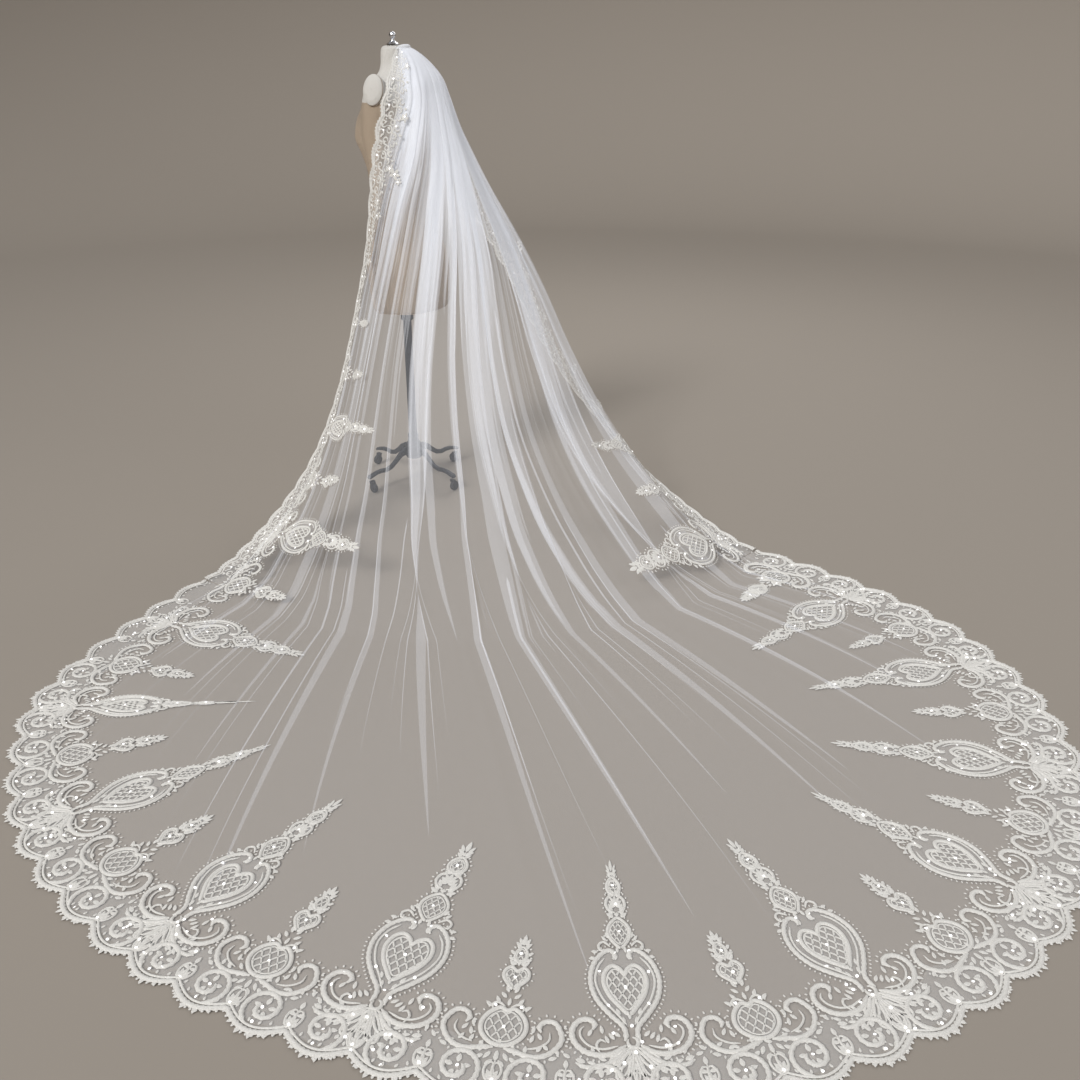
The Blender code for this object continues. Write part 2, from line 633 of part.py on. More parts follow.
for n, direction in enumerate(LEG_DIRS, 1):
    v, f = leg_mesh(direction)
    add("stand_leg_%d" % n, v, f, IRON)
    a = math.radians(direction)
    out = np.array([math.sin(a), -math.cos(a), 0.0])
    swivel = np.array([POLE[0], POLE[1], 0.0]) + out * LEG_REACH
    tang = np.array([math.cos(a), math.sin(a), 0.0])
    # the yoke: an inverted U over the wheel
    axle = swivel + tang * TRAIL
    in_w, out_w = WHEEL_W / 2 + 0.0006, WHEEL_W / 2 + 0.0030
    top, roof = 0.0462, 0.0400
    shape = [(-out_w, 0.0120), (-in_w, 0.0120), (-in_w, roof), (in_w, roof),
             (in_w, 0.0120), (out_w, 0.0120), (out_w, top), (-out_w, top)]
    verts = []
    for along in (-0.0150, 0.0070):
        for y, z in shape:
            verts.append(swivel + tang * (TRAIL * (1 - (z - 0.012) / (top - 0.012)) + along * (-1) * 0.55)
                         + out * y + np.array([0, 0, z]))
    m = len(shape)
    quads = [(k, (k + 1) % m, (k + 1) % m + m, k + m) for k in range(m)]
    caps = [(7, 2, 1, 0), (7, 6, 3, 2), (6, 5, 4, 3)]
    faces = quads + caps + [tuple(i + m for i in reversed(c)) for c in caps]
    yoke = add("caster_yoke_%d" % n, verts, faces, IRON, origin=tuple(swivel + np.array([0, 0, 0.030])))
    v, f = lathe([(0.0150, -WHEEL_W / 2), (WHEEL_R - 0.0015, -WHEEL_W / 2 + 0.0004),
                  (WHEEL_R, -WHEEL_W / 2 + 0.0022), (WHEEL_R, WHEEL_W / 2 - 0.0022),
                  (WHEEL_R - 0.0015, WHEEL_W / 2 - 0.0004), (0.0150, WHEEL_W / 2)],
                 axle + np.array([0, 0, WHEEL_R]), 20, "dir", direction)
    wheel = add("caster_wheel_%d" % n, v, f, TYRE, origin=tuple(axle + np.array([0, 0, WHEEL_R])))

if __name__ == "__main__":
    lo, hi = np.full(3, 9.0), np.full(3, -9.0)
    total = 0
    for ob in bpy.data.objects:
        if ob.type != "MESH" or ob.hide_render:
            continue
        c = np.array([tuple(ob.matrix_world.translation + p.co) for p in ob.data.vertices])
        c = np.array([tuple(ob.location + p.co) for p in ob.data.vertices])
        lo, hi = np.minimum(lo, c.min(0)), np.maximum(hi, c.max(0))
        tris = sum(len(p.vertices) - 2 for p in ob.data.polygons)
        total += tris
        print("%-22s %6d tris" % (ob.name, tris))
    print("triangles", total, "box", lo.round(4), hi.round(4),
          "edge", round(float(edge_run[-1]), 3))
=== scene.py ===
"""Looks of the bridal veil and the dress form it rests on. Metres, +Z up.

The cloth follows the same sections, pleats and hem as the frame's solids. The
lace is embroidery laid on the net in two numbers: s, the distance along the
veil's edge, and d, the distance in from it.
"""
import bpy
import json
import math
import random
import numpy as np
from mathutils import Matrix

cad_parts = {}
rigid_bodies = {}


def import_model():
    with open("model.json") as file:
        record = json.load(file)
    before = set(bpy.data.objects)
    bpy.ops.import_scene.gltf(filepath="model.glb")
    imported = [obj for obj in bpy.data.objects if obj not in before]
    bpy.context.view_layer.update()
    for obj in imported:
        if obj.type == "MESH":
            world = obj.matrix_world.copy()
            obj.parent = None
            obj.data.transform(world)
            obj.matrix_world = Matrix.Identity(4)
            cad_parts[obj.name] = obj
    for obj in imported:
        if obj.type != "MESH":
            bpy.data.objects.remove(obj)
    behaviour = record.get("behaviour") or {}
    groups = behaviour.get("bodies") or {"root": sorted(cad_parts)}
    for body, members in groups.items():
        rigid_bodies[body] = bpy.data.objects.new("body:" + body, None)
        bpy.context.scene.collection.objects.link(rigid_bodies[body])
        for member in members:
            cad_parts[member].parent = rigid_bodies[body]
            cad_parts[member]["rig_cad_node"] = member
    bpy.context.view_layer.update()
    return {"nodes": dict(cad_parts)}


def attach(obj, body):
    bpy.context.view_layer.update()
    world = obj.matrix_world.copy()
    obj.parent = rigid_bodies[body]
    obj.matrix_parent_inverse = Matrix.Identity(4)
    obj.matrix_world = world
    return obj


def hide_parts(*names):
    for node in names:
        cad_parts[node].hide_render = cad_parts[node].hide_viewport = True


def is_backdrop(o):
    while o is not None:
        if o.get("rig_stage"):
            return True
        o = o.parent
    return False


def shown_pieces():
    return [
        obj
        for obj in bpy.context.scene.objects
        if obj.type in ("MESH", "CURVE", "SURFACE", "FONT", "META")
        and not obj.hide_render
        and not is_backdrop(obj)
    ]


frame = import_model()
rng = random.Random(11)
rnd = np.random.default_rng(11)

# ---------------------------------------------------------------- the frame's sizes
POLE = (-0.503, 1.34422)
FACING = -113.0
WALL = 0.001
BAND = 0.08
FLOOR_ROWS = 7
HEM_INSET = 0.030
SCALLOP_TRIM = 0.085
SCALLOP_TRIM_DEPTH = 0.014
REPEAT = 0.52
FIRST_MOTIF = 0.79
SCALLOP_TRAIN_DEPTH = 0.026
SECTIONS = ("z", "dir_l", "dir_m", "dir_f", "dir_r", "rad_l", "rad_m", "rad_f", "rad_r",
            "fold", "depth", "lace")
SECTION_ROWS = [
    (1.590,  20, 60, 115, 132, 0.058, 0.058, 0.058, 0.058, 0.00, 0.0000, 0.018),
    (1.575,  14, 60, 118, 135, 0.074, 0.084, 0.080, 0.070, 0.12, 0.0020, 0.028),
    (1.545,   6, 58, 116, 133, 0.102, 0.120, 0.114, 0.098, 0.35, 0.0040, 0.045),
    (1.490,   0, 54, 112, 130, 0.142, 0.162, 0.160, 0.142, 0.60, 0.0060, 0.060),
    (1.430,  -3, 50, 107, 125, 0.172, 0.184, 0.182, 0.166, 0.80, 0.0075, 0.070),
    (1.340, -14, 44, 103, 123, 0.176, 0.216, 0.210, 0.182, 0.90, 0.0095, 0.080),
    (1.240, -22, 38,  98, 119, 0.178, 0.256, 0.256, 0.208, 1.00, 0.0110, 0.085),
    (1.120, -28, 30,  92, 116, 0.180, 0.310, 0.318, 0.240, 1.00, 0.0120, 0.090),
    (0.950, -31, 22,  82, 106, 0.205, 0.395, 0.424, 0.320, 1.00, 0.0130, 0.090),
    (0.780, -32, 16,  72,  97, 0.268, 0.490, 0.536, 0.410, 0.95, 0.0140, 0.090),
    (0.600, -32, 12,  65,  90, 0.342, 0.610, 0.652, 0.495, 0.88, 0.0150, 0.095),
    (0.430, -32, 10,  60,  84, 0.430, 0.750, 0.786, 0.610, 0.78, 0.0160, 0.110),
    (0.280, -32,  9,  57,  77, 0.545, 0.900, 0.945, 0.765, 0.62, 0.0160, 0.130),
    (0.160, -32,  8,  55,  70, 0.690, 1.045, 1.115, 0.950, 0.45, 0.0130, 0.150),
    (0.075, -32,  8,  53,  65, 0.860, 1.170, 1.275, 1.150, 0.28, 0.0080, 0.160),
    (0.025, -32,  8,  52,  62, 0.985, 1.260, 1.395, 1.310, 0.12, 0.0030, 0.170),
    (0.000, -32,  8,  51,  60, 1.110, 1.340, 1.490, 1.440, 0.00, 0.0000, 0.170),
]
STATIONS = (0.0, 0.4, 0.85, 1.0)
HEM_DIR_AT_STATION = (-27.0, 9.0, 45.0, 55.0)
HEM = [
    (-27, 1.900), (-24, 2.020), (-21, 2.140), (-18, 2.260), (-14, 2.380), (-9, 2.520),
    (-3, 2.665), (3, 2.785), (9, 2.900), (15, 2.975), (21, 3.000), (27, 2.985),
    (32, 2.940), (38, 2.840), (44, 2.660), (49, 2.470), (53, 2.260), (55, 2.140),
]
PLEATS = [
    (0.080, 0.165, 1.8), (0.165, 0.260, 2.8), (0.330, 0.440, 3.6), (0.440, 0.503, 2.6),
    (0.503, 0.570, 3.2), (0.570, 0.637, 3.2), (0.707, 0.823, 3.8), (0.823, 0.920, 2.4),
]
TORSO_ROWS = [
    (0.700, 0.164, 0.088, 0.150, 0.000), (0.708, 0.169, 0.092, 0.155, 0.000),
    (0.752, 0.175, 0.100, 0.160, 0.000), (0.815, 0.177, 0.107, 0.161, 0.000),
    (0.880, 0.175, 0.112, 0.152, 0.000), (0.960, 0.159, 0.108, 0.128, 0.000),
    (1.040, 0.137, 0.102, 0.106, 0.000), (1.118, 0.122, 0.095, 0.094, 0.000),
    (1.190, 0.127, 0.100, 0.096, 0.004), (1.250, 0.137, 0.106, 0.102, 0.016),
    (1.300, 0.145, 0.110, 0.107, 0.030), (1.350, 0.151, 0.108, 0.111, 0.024),
    (1.400, 0.156, 0.099, 0.112, 0.008), (1.438, 0.155, 0.086, 0.107, 0.000),
    (1.464, 0.140, 0.074, 0.097, 0.000), (1.486, 0.108, 0.064, 0.083, 0.000),
    (1.503, 0.075, 0.055, 0.065, 0.000), (1.520, 0.055, 0.047, 0.052, 0.000),
    (1.545, 0.046, 0.043, 0.045, 0.000), (1.575, 0.044, 0.041, 0.043, 0.000),
    (1.590, 0.041, 0.038, 0.040, 0.000), (1.598, 0.030, 0.028, 0.030, 0.000),
]

AIR = len(SECTION_ROWS) - 1
LAST = AIR + FLOOR_ROWS
COLUMN = {name: np.array([row[i] for row in SECTION_ROWS], float)
          for i, name in enumerate(SECTIONS)}
HEM_DIRS = [row[0] for row in HEM]
HEM_RADII = [row[1] - HEM_INSET for row in HEM]


# ---------------------------------------------------------------- curves and the cloth's form
def curve_many(xs, ys, x):
    """Smooth curve without overshoot. ys has a column for each x."""
    xs, ys, x = np.asarray(xs, float), np.asarray(ys, float), np.asarray(x, float)
    if ys.ndim == 1:
        ys = np.repeat(ys[:, None], len(x), axis=1)
    h = np.diff(xs)
    d = np.diff(ys, axis=0) / h[:, None]
    m = np.empty_like(ys)
    m[0], m[-1] = d[0], d[-1]
    for i in range(1, len(xs) - 1):
        a, b = 2 * h[i] + h[i - 1], h[i] + 2 * h[i - 1]
        same = d[i - 1] * d[i] > 0
        p, q = np.where(same, d[i - 1], 1.0), np.where(same, d[i], 1.0)
        m[i] = np.where(same, (a + b) / (a / p + b / q), 0.0)
    k = np.clip(np.searchsorted(xs, x, side="right") - 1, 0, len(h) - 1)
    c = np.arange(len(x))
    t = (x - xs[k]) / h[k]
    return ((2 * t**3 - 3 * t**2 + 1) * ys[k, c] + (t**3 - 2 * t**2 + t) * h[k] * m[k, c]
            + (3 * t**2 - 2 * t**3) * ys[k + 1, c] + (t**3 - t**2) * h[k] * m[k + 1, c])


def at_rows(name, t):
    return curve_many(np.arange(AIR + 1), COLUMN[name], np.clip(t, 0, AIR))


def base_points(q, t):
    """The veil without its pleats, for equal lists of q and t."""
    q, t = np.asarray(q, float).ravel(), np.asarray(t, float).ravel()
    direction = curve_many(STATIONS, np.stack([at_rows(n, t) for n in SECTIONS[1:5]]), q)
    radius = curve_many(STATIONS, np.stack([at_rows(n, t) for n in SECTIONS[5:9]]), q)
    z = at_rows("z", t) + WALL / 2
    f = np.clip((t - AIR) / FLOOR_ROWS, 0, 1)
    hem_dir = curve_many(STATIONS, HEM_DIR_AT_STATION, q)
    hem_rad = curve_many(HEM_DIRS, HEM_RADII, hem_dir)
    direction = direction + (hem_dir - direction) * f**1.5
    radius = radius + (hem_rad - radius) * f
    a = np.radians(direction)
    return np.stack([POLE[0] + radius * np.sin(a), POLE[1] - radius * np.cos(a), z], axis=1)


def unit(v):
    return v / np.maximum(np.linalg.norm(v, axis=-1), 1e-12)[..., None]


def smooth_step(x, a, b):
    x = np.clip((x - a) / (b - a), 0, 1)
    return x * x * (3 - 2 * x)


# dense grid of the unpleated form: rows t, columns q
NT, NQ = LAST * 14 + 1, 361
grid_t, grid_q = np.linspace(0, LAST, NT), np.linspace(0, 1, NQ)
tt, qq = np.meshgrid(grid_t, grid_q, indexing="ij")
BASE = base_points(qq, tt).reshape(NT, NQ, 3)
BASE_Q = np.gradient(BASE, grid_q, axis=1)
BASE_T = np.gradient(BASE, grid_t, axis=0)
BASE_N = unit(np.cross(BASE_T, BASE_Q))
BASE_N[grid_t >= AIR] = (0, 0, 1)
row_width = np.linalg.norm(np.diff(BASE, axis=1), axis=2).sum(axis=1)
row_share = np.minimum(at_rows("lace", grid_t), 0.22 * row_width) / row_width


def pick(grid, q, t):
    """Bilinear reading of a grid at lists of q and t."""
    x = np.clip(np.asarray(q) * (NQ - 1), 0, NQ - 1.0001)
    y = np.clip(np.asarray(t) / LAST * (NT - 1), 0, NT - 1.0001)
    i, j = y.astype(int), x.astype(int)
    u, v = x - j, y - i
    if grid.ndim == 3:
        u, v = u[..., None], v[..., None]
    return ((grid[i, j] * (1 - u) + grid[i, j + 1] * u) * (1 - v)
            + (grid[i + 1, j] * (1 - u) + grid[i + 1, j + 1] * u) * v)


def cut_to_q(v, share):
    q = np.where(v < BAND, v / BAND * share,
                 share + (v - BAND) / (1 - 2 * BAND) * (1 - 2 * share))
    return np.where(v > 1 - BAND, 1 - (1 - v) / BAND * share, q)


def pleat(w, t):
    """How far the pleats push the cloth sideways, as a share, and lift it out."""
    push, lift = np.zeros_like(w), np.zeros_like(w)
    on = t < AIR
    fold = np.where(on, at_rows("fold", t), 0.0)
    depth = np.where(on, at_rows("depth", t), 0.0)
    for start, end, strength in PLEATS:
        half = (end - start) / 2
        x = (w - (start + end) / 2) / half
        inside = np.abs(x) < 1
        wave = np.sin(np.pi * np.where(inside, x, 0.0))
        push -= np.where(inside, fold * strength * half / math.pi * wave, 0.0)
        lift -= np.where(inside, depth * wave, 0.0)
    return push, lift


# creases pressed into the cloth that run out over the train
CREASES = [(0.03 + 0.94 * (k + rng.uniform(0.15, 0.85)) / 40, rng.uniform(0.0022, 0.0050),
            rng.uniform(0.0015, 0.0050), rng.uniform(9.0, 14.0), rng.uniform(18.2, 22.4))
           for k in range(40)]


def cloth(w, t):
    """Points and outward normals of the pleated veil at equal lists of w and t."""
    w, t = np.asarray(w, float), np.asarray(t, float)
    push, lift = pleat(w, t)
    share = np.interp(t, grid_t, row_share)
    q = np.clip(cut_to_q(np.clip(w + push, 0, 1), share), 0, 1)
    p, n = base_points(q, t), unit(pick(BASE_N, q, t))
    middle = smooth_step(w, 0.05, 0.11) * (1 - smooth_step(w, 0.89, 0.95))
    fine = (0.55 * np.sin(2 * np.pi * (41 * w + 0.35 * np.sin(9 * w) + 0.05 * t))
            + 0.45 * np.sin(2 * np.pi * (67 * w + 0.6 * np.sin(7 * w + 1.0) - 0.03 * t)))
    size = 0.0022 * smooth_step(t, 0.6, 5) * (1 - smooth_step(t, 12.0, 15.6))
    lift = lift + middle * size * fine
    rise = np.zeros_like(w)
    for at, width, height, start, end in CREASES:
        drift = at + 0.0016 * np.sin(0.55 * t + 40 * at)
        along = smooth_step(t, start, start + 2.5) * (1 - smooth_step(t, end - 2.5, end))
        rise = np.maximum(rise, height * along * np.exp(-((w - drift) / width)**2))
    return p + n * (lift + rise)[:, None], n


# ---------------------------------------------------------------- mesh and material helpers
def make(name, verts, faces, mats, face_mat=None, smooth=True, uv=None):
    verts = np.asarray(verts, np.float32)
    me = bpy.data.meshes.new(name)
    if isinstance(faces, np.ndarray):
        n, k = faces.shape
        me.vertices.add(len(verts))
        me.vertices.foreach_set("co", verts.ravel())
        me.loops.add(n * k)
        me.loops.foreach_set("vertex_index", faces.astype(np.int32).ravel())
        me.polygons.add(n)
        me.polygons.foreach_set("loop_start", np.arange(0, n * k, k, dtype=np.int32))
        me.update(calc_edges=True)
    else:
        me.from_pydata([tuple(v) for v in verts], [], faces)
        me.update()
    for m in (mats if isinstance(mats, (list, tuple)) else [mats]):
        me.materials.append(m)
    if face_mat is not None:
        me.polygons.foreach_set("material_index", np.asarray(face_mat, np.int32))
    me.polygons.foreach_set("use_smooth", np.full(len(me.polygons), smooth))
    if uv is not None:
        layer = me.uv_layers.new(name="UVMap")
        loops = np.empty(len(me.loops), np.int32)
        me.loops.foreach_get("vertex_index", loops)
        layer.data.foreach_set("uv", np.asarray(uv, np.float32)[loops].ravel())
    me.validate()
    me.update()
    ob = bpy.data.objects.new(name, me)
    bpy.context.scene.collection.objects.link(ob)
    return ob


def grid_faces(rows, cols, wrap=False):
    i, j = np.meshgrid(np.arange(rows - 1), np.arange(cols if wrap else cols - 1), indexing="ij")
    k = (j + 1) % cols
    return np.stack([i * cols + j, (i + 1) * cols + j, (i + 1) * cols + k, i * cols + k],
                    axis=-1).reshape(-1, 4)


def finish_of(name, dark, light, rough, scale, bump, stretch=(1, 1, 1), metallic=0.0, alpha=1.0,
              sheen=0.0, kind="noise", rough_span=0.10, distance=0.0006, coat=0.0, detail=6.0,
              painted_glow=0.0):
    """Material with its colour, roughness and relief from procedural texture."""
    m = bpy.data.materials.new(name)
    m.use_nodes = True
    nt = m.node_tree
    p = nt.nodes["Principled BSDF"]
    tc = nt.nodes.new("ShaderNodeTexCoord")
    mp = nt.nodes.new("ShaderNodeMapping")
    mp.inputs["Scale"].default_value = stretch
    nt.links.new(tc.outputs["Object"], mp.inputs["Vector"])
    if kind == "noise":
        tx = nt.nodes.new("ShaderNodeTexNoise")
        tx.inputs["Scale"].default_value = scale
        tx.inputs["Detail"].default_value = detail
        out = tx.outputs["Fac"]
    elif kind == "net":
        tx = nt.nodes.new("ShaderNodeTexVoronoi")
        tx.feature = "DISTANCE_TO_EDGE"
        tx.inputs["Scale"].default_value = scale
        out = tx.outputs["Distance"]
    else:
        tx = nt.nodes.new("ShaderNodeTexWave")
        tx.wave_type = "BANDS"
        tx.bands_direction = "DIAGONAL"
        tx.inputs["Scale"].default_value = scale
        tx.inputs["Distortion"].default_value = 1.5
        tx.inputs["Detail"].default_value = 3.0
        out = tx.outputs["Fac"]
    nt.links.new(mp.outputs["Vector"], tx.inputs["Vector"])
    ramp = nt.nodes.new("ShaderNodeValToRGB")
    ramp.color_ramp.elements[0].position = 0.30
    ramp.color_ramp.elements[1].position = 0.70
    ramp.color_ramp.elements[0].color = (*dark, 1)
    ramp.color_ramp.elements[1].color = (*light, 1)
    nt.links.new(out, ramp.inputs["Fac"])
    nt.links.new(ramp.outputs["Color"], p.inputs["Base Color"])
    rr = nt.nodes.new("ShaderNodeMapRange")
    rr.inputs["To Min"].default_value = max(0.02, rough - rough_span)
    rr.inputs["To Max"].default_value = min(1.0, rough + rough_span)
    nt.links.new(out, rr.inputs["Value"])
    nt.links.new(rr.outputs["Result"], p.inputs["Roughness"])
    if bump:
        b = nt.nodes.new("ShaderNodeBump")
        b.inputs["Strength"].default_value = bump
        b.inputs["Distance"].default_value = distance
        nt.links.new(out, b.inputs["Height"])
        nt.links.new(b.outputs["Normal"], p.inputs["Normal"])
    p.inputs["Metallic"].default_value = metallic
    p.inputs["Alpha"].default_value = alpha
    p.inputs["Sheen Weight"].default_value = sheen
    p.inputs["Sheen Roughness"].default_value = 0.4
    p.inputs["Coat Weight"].default_value = coat
    if painted_glow:                                      # painted glow: emission that stands in for light scattered through thin net, and on sequins for their glints
        p.inputs["Emission Color"].default_value = (*light, 1)
        p.inputs["Emission Strength"].default_value = painted_glow
    return m


# The tulle materials carry a painted glow, an emission that brightens their shaded sides.
TULLE = finish_of("tulle_net", (0.84, 0.855, 0.90), (0.93, 0.945, 0.985), 0.62, 900, 0.25,
                  alpha=0.115, sheen=0.25, kind="net", painted_glow=0.10)
TULLE_FOLD = finish_of("tulle_folded", (0.84, 0.855, 0.90), (0.93, 0.945, 0.985), 0.60, 900, 0.25,
                       alpha=0.21, sheen=0.25, kind="net", painted_glow=0.12)
TULLE_TOP = finish_of("tulle_gathered_top", (0.78, 0.795, 0.83), (0.92, 0.93, 0.96), 0.62, 260, 0.6,
                      stretch=(1, 1, 0.12), alpha=0.82, sheen=0.25, painted_glow=0.05)
TULLE_CREASE = finish_of("tulle_crease", (0.88, 0.895, 0.94), (0.96, 0.97, 1.0), 0.55, 700, 0.2,
                         alpha=0.32, sheen=0.25, kind="net", painted_glow=0.10)
GROUND = finish_of("lace_net_ground", (0.84, 0.83, 0.81), (0.95, 0.945, 0.925), 0.70, 420, 0.5,
                   alpha=0.22, sheen=0.2, kind="net")
THREAD = finish_of("lace_embroidery", (0.70, 0.68, 0.635), (0.92, 0.90, 0.86), 0.60, 420, 0.85,
                   sheen=0.2, distance=0.0014)
# The sequins carry a strong painted glow that stands in for their glints.
SEQUIN = finish_of("sequin_clear", (0.90, 0.91, 0.93), (1.0, 1.0, 1.0), 0.14, 160, 0.0,
                   metallic=0.25, rough_span=0.06, coat=1.0, painted_glow=1.0)
RIBBON = finish_of("ribbon_satin", (0.80, 0.78, 0.73), (0.93, 0.91, 0.87), 0.38, 300, 0.4,
                   stretch=(1, 1, 6), sheen=0.3)
LINEN = finish_of("linen_cover", (0.50, 0.385, 0.275), (0.66, 0.53, 0.40), 0.86, 420, 0.9,
                  kind="weave", sheen=0.15, distance=0.0008)
CREAM = finish_of("cream_cover", (0.72, 0.69, 0.635), (0.86, 0.835, 0.79), 0.72, 500, 0.6,
                  kind="weave", sheen=0.15)
SEAM = finish_of("seam_piping", (0.40, 0.32, 0.24), (0.54, 0.44, 0.34), 0.80, 900, 0.7)
CHROME = finish_of("chrome_cap", (0.66, 0.67, 0.70), (0.86, 0.87, 0.90), 0.16, 60, 0.1,
                   metallic=1.0, rough_span=0.05)
COMB = finish_of("comb_wire", (0.64, 0.64, 0.66), (0.84, 0.84, 0.86), 0.28, 90, 0.2, metallic=1.0)
IRON = finish_of("cast_iron", (0.018, 0.019, 0.023), (0.055, 0.058, 0.066), 0.48, 130, 0.6,
                 metallic=0.55, rough_span=0.14)
TYRE = finish_of("caster_tyre", (0.012, 0.012, 0.013), (0.035, 0.035, 0.037), 0.70, 220, 0.5)

# ---------------------------------------------------------------- tulle
ws = [np.linspace(0, BAND, 24, endpoint=False)]
ws.append(np.linspace(BAND, 1 - BAND, 470, endpoint=False))
ws.append(np.linspace(1 - BAND, 1, 25))
ws = np.concatenate(ws)
ts = np.concatenate([np.arange(0, AIR, 1 / 8), np.arange(AIR, LAST, 1 / 9), [LAST]])
W, T = np.meshgrid(ws, ts)
tulle_p, tulle_n = cloth(W.ravel(), T.ravel())
tulle = make("veil_tulle_net", tulle_p, grid_faces(len(ts), len(ws)), TULLE,
             uv=np.stack([W.ravel(), T.ravel() / LAST], axis=1))
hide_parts("veil_tulle")
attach(tulle, "root")
tulle.visible_shadow = False            # sheer net throws no shadow to speak of


def strips(name, rows, mat, columns=2):
    """Long strips of cloth that lie along the pleats. One row for each strip."""
    verts, faces, base = [], [], 0
    for at, half, start, end, off, head in rows:
        n = max(6, int((end - start) * 7))
        t = np.linspace(start, end, n)
        f = (t - start) / (end - start)
        taper = np.minimum(1.0, (1 - f) / 0.55)**0.8 * np.minimum(1.0, f / 0.02 + head)
        drift = at + 0.0016 * np.sin(0.55 * t + 40 * at)
        pace = np.interp(t, grid_t, row_width) * (1 + 1.3 * at_rows("fold", t) * (t < AIR))
        dw = np.minimum(half * taper / pace, 0.035)
        cols = []
        for k in range(columns + 1):
            w = np.clip(drift + dw * (2 * k / columns - 1), 0.001, 0.999)
            p, nn = cloth(w, t)
            cols.append(p + nn * np.where(t > AIR - 1, abs(off), off)[:, None])
        verts.append(np.stack(cols, axis=1).reshape(-1, 3))
        faces.append(grid_faces(n, columns + 1) + base)
        base += n * (columns + 1)
    ob = make(name, np.concatenate(verts), np.concatenate(faces), mat)
    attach(ob, "root")
    ob.visible_shadow = False
    return ob


gathers = []
for k in range(230):
    at = 0.06 + 0.88 * (k + rng.uniform(0.1, 0.9)) / 230
    kind = rng.random()
    if kind < 0.52:
        end = rng.uniform(5.5, 8.6)
    elif kind < 0.86:
        end = rng.uniform(8.6, 11.6)
    else:
        end = rng.uniform(11.6, 16.5)
    gathers.append((at, rng.uniform(0.008, 0.018), 0.05, end,
                    rng.choice((-1, 1)) * rng.uniform(0.0006, 0.0026), 0.4))
for k in range(15):                     # folds that run on over the train
    at = 0.09 + 0.82 * (k + rng.uniform(0.2, 0.8)) / 15
    gathers.append((at, rng.uniform(0.012, 0.026), rng.uniform(4.0, 8.0),
                    rng.uniform(18.5, 22.3), rng.choice((-1, 1)) * 0.0016, 0.1))
folded = strips("veil_tulle_gathers", gathers, TULLE_FOLD)

lines = []
for k, (start, end, strength) in enumerate(PLEATS):
    half, mid = (end - start) / 2, (start + end) / 2
    edge = math.acos(min(1.0, 1.0 / strength)) / math.pi
    for side in (-1, 1):
        lines.append((mid + side * half * edge, 0.0026, 2.0, rng.uniform(17.5, 21.5),
                      0.0008, 0.2))
for at, width, height, start, end in CREASES:
    if rng.random() < 0.72:
        lines.append((at, rng.uniform(0.0014, 0.0034), rng.uniform(9.0, 14.0), end,
                      0.0008, 0.0))
creased = strips("veil_tulle_creases", lines, TULLE_CREASE)

# ---------------------------------------------------------------- the edge and its map
path_q = np.concatenate([np.zeros(NT), grid_q[1:], np.ones(NT - 1)])
path_t = np.concatenate([grid_t, np.full(NQ - 1, float(LAST)), grid_t[::-1][1:]])
path = pick(BASE, path_q, path_t)
run = np.concatenate([[0], np.cumsum(np.linalg.norm(np.diff(path, axis=0), axis=1))])
touch_l = np.interp(AIR, grid_t, run[:NT])
touch_r = np.interp(AIR, grid_t, run[-NT:][::-1])
STEP = 0.01
edge_s = np.arange(0, run[-1], STEP)
edge_p = np.stack([np.interp(edge_s, run, path[:, k]) for k in range(3)], axis=1)
edge_q, edge_t = np.interp(edge_s, run, path_q), np.interp(edge_s, run, path_t)
S0, S1 = -touch_l, run[-1] - touch_l          # s at the comb, left and right
SR = touch_r - touch_l                        # s at the right touchdown
edge_s = edge_s - touch_l
kernel = np.exp(-(np.arange(-24, 25) * STEP / 0.075)**2 / 2)
kernel /= kernel.sum()


def blurred(a):
    pad = np.concatenate([2 * a[:1] - a[24:0:-1], a, 2 * a[-1:] - a[-2:-26:-1]])
    return np.stack([np.convolve(pad[:, k], kernel, "valid") for k in range(a.shape[1])], axis=1)


edge_p = blurred(edge_p)


def settle(q, t, p, rounds=4):
    """q and t of the surface points nearest to p."""
    for _ in range(rounds):
        miss = p - pick(BASE, q, t)
        a, b = pick(BASE_Q, q, t), pick(BASE_T, q, t)
        aa, bb, ab = (a * a).sum(1), (b * b).sum(1), (a * b).sum(1)
        ra, rb = (a * miss).sum(1), (b * miss).sum(1)
        det = np.maximum(aa * bb - ab * ab, 1e-9)
        q = np.clip(q + (bb * ra - ab * rb) / det, 0, 1)
        t = np.clip(t + (aa * rb - ab * ra) / det, 0, LAST)
    return q, t


edge_q, edge_t = settle(edge_q, edge_t, edge_p)
heading = unit(np.gradient(edge_p, axis=0))
edge_n = unit(pick(BASE_N, edge_q, edge_t))
into = unit(np.cross(edge_n, heading))
into = unit(blurred(into))

# height of the pleats' outer side over the unpleated form
cover = np.zeros((NT, NQ))
fine_w = np.linspace(0, 1, 2400)
for i, t in enumerate(grid_t):
    if t >= AIR:
        break
    push, lift = pleat(fine_w, np.full(len(fine_w), t))
    q = cut_to_q(np.clip(fine_w + push, 0, 1), row_share[i])
    np.maximum.at(cover[i], np.clip(np.rint(q * (NQ - 1)).astype(int), 0, NQ - 1), lift)
soft = np.exp(-(np.arange(-9, 10) / 4.0)**2)
soft /= soft.sum()
wide = cover.copy()
for k in range(-4, 5):
    wide = np.maximum(wide, np.roll(cover, k, axis=1))
cover = np.stack([np.convolve(np.pad(row, 9, mode="edge"), soft, "valid") for row in wide])

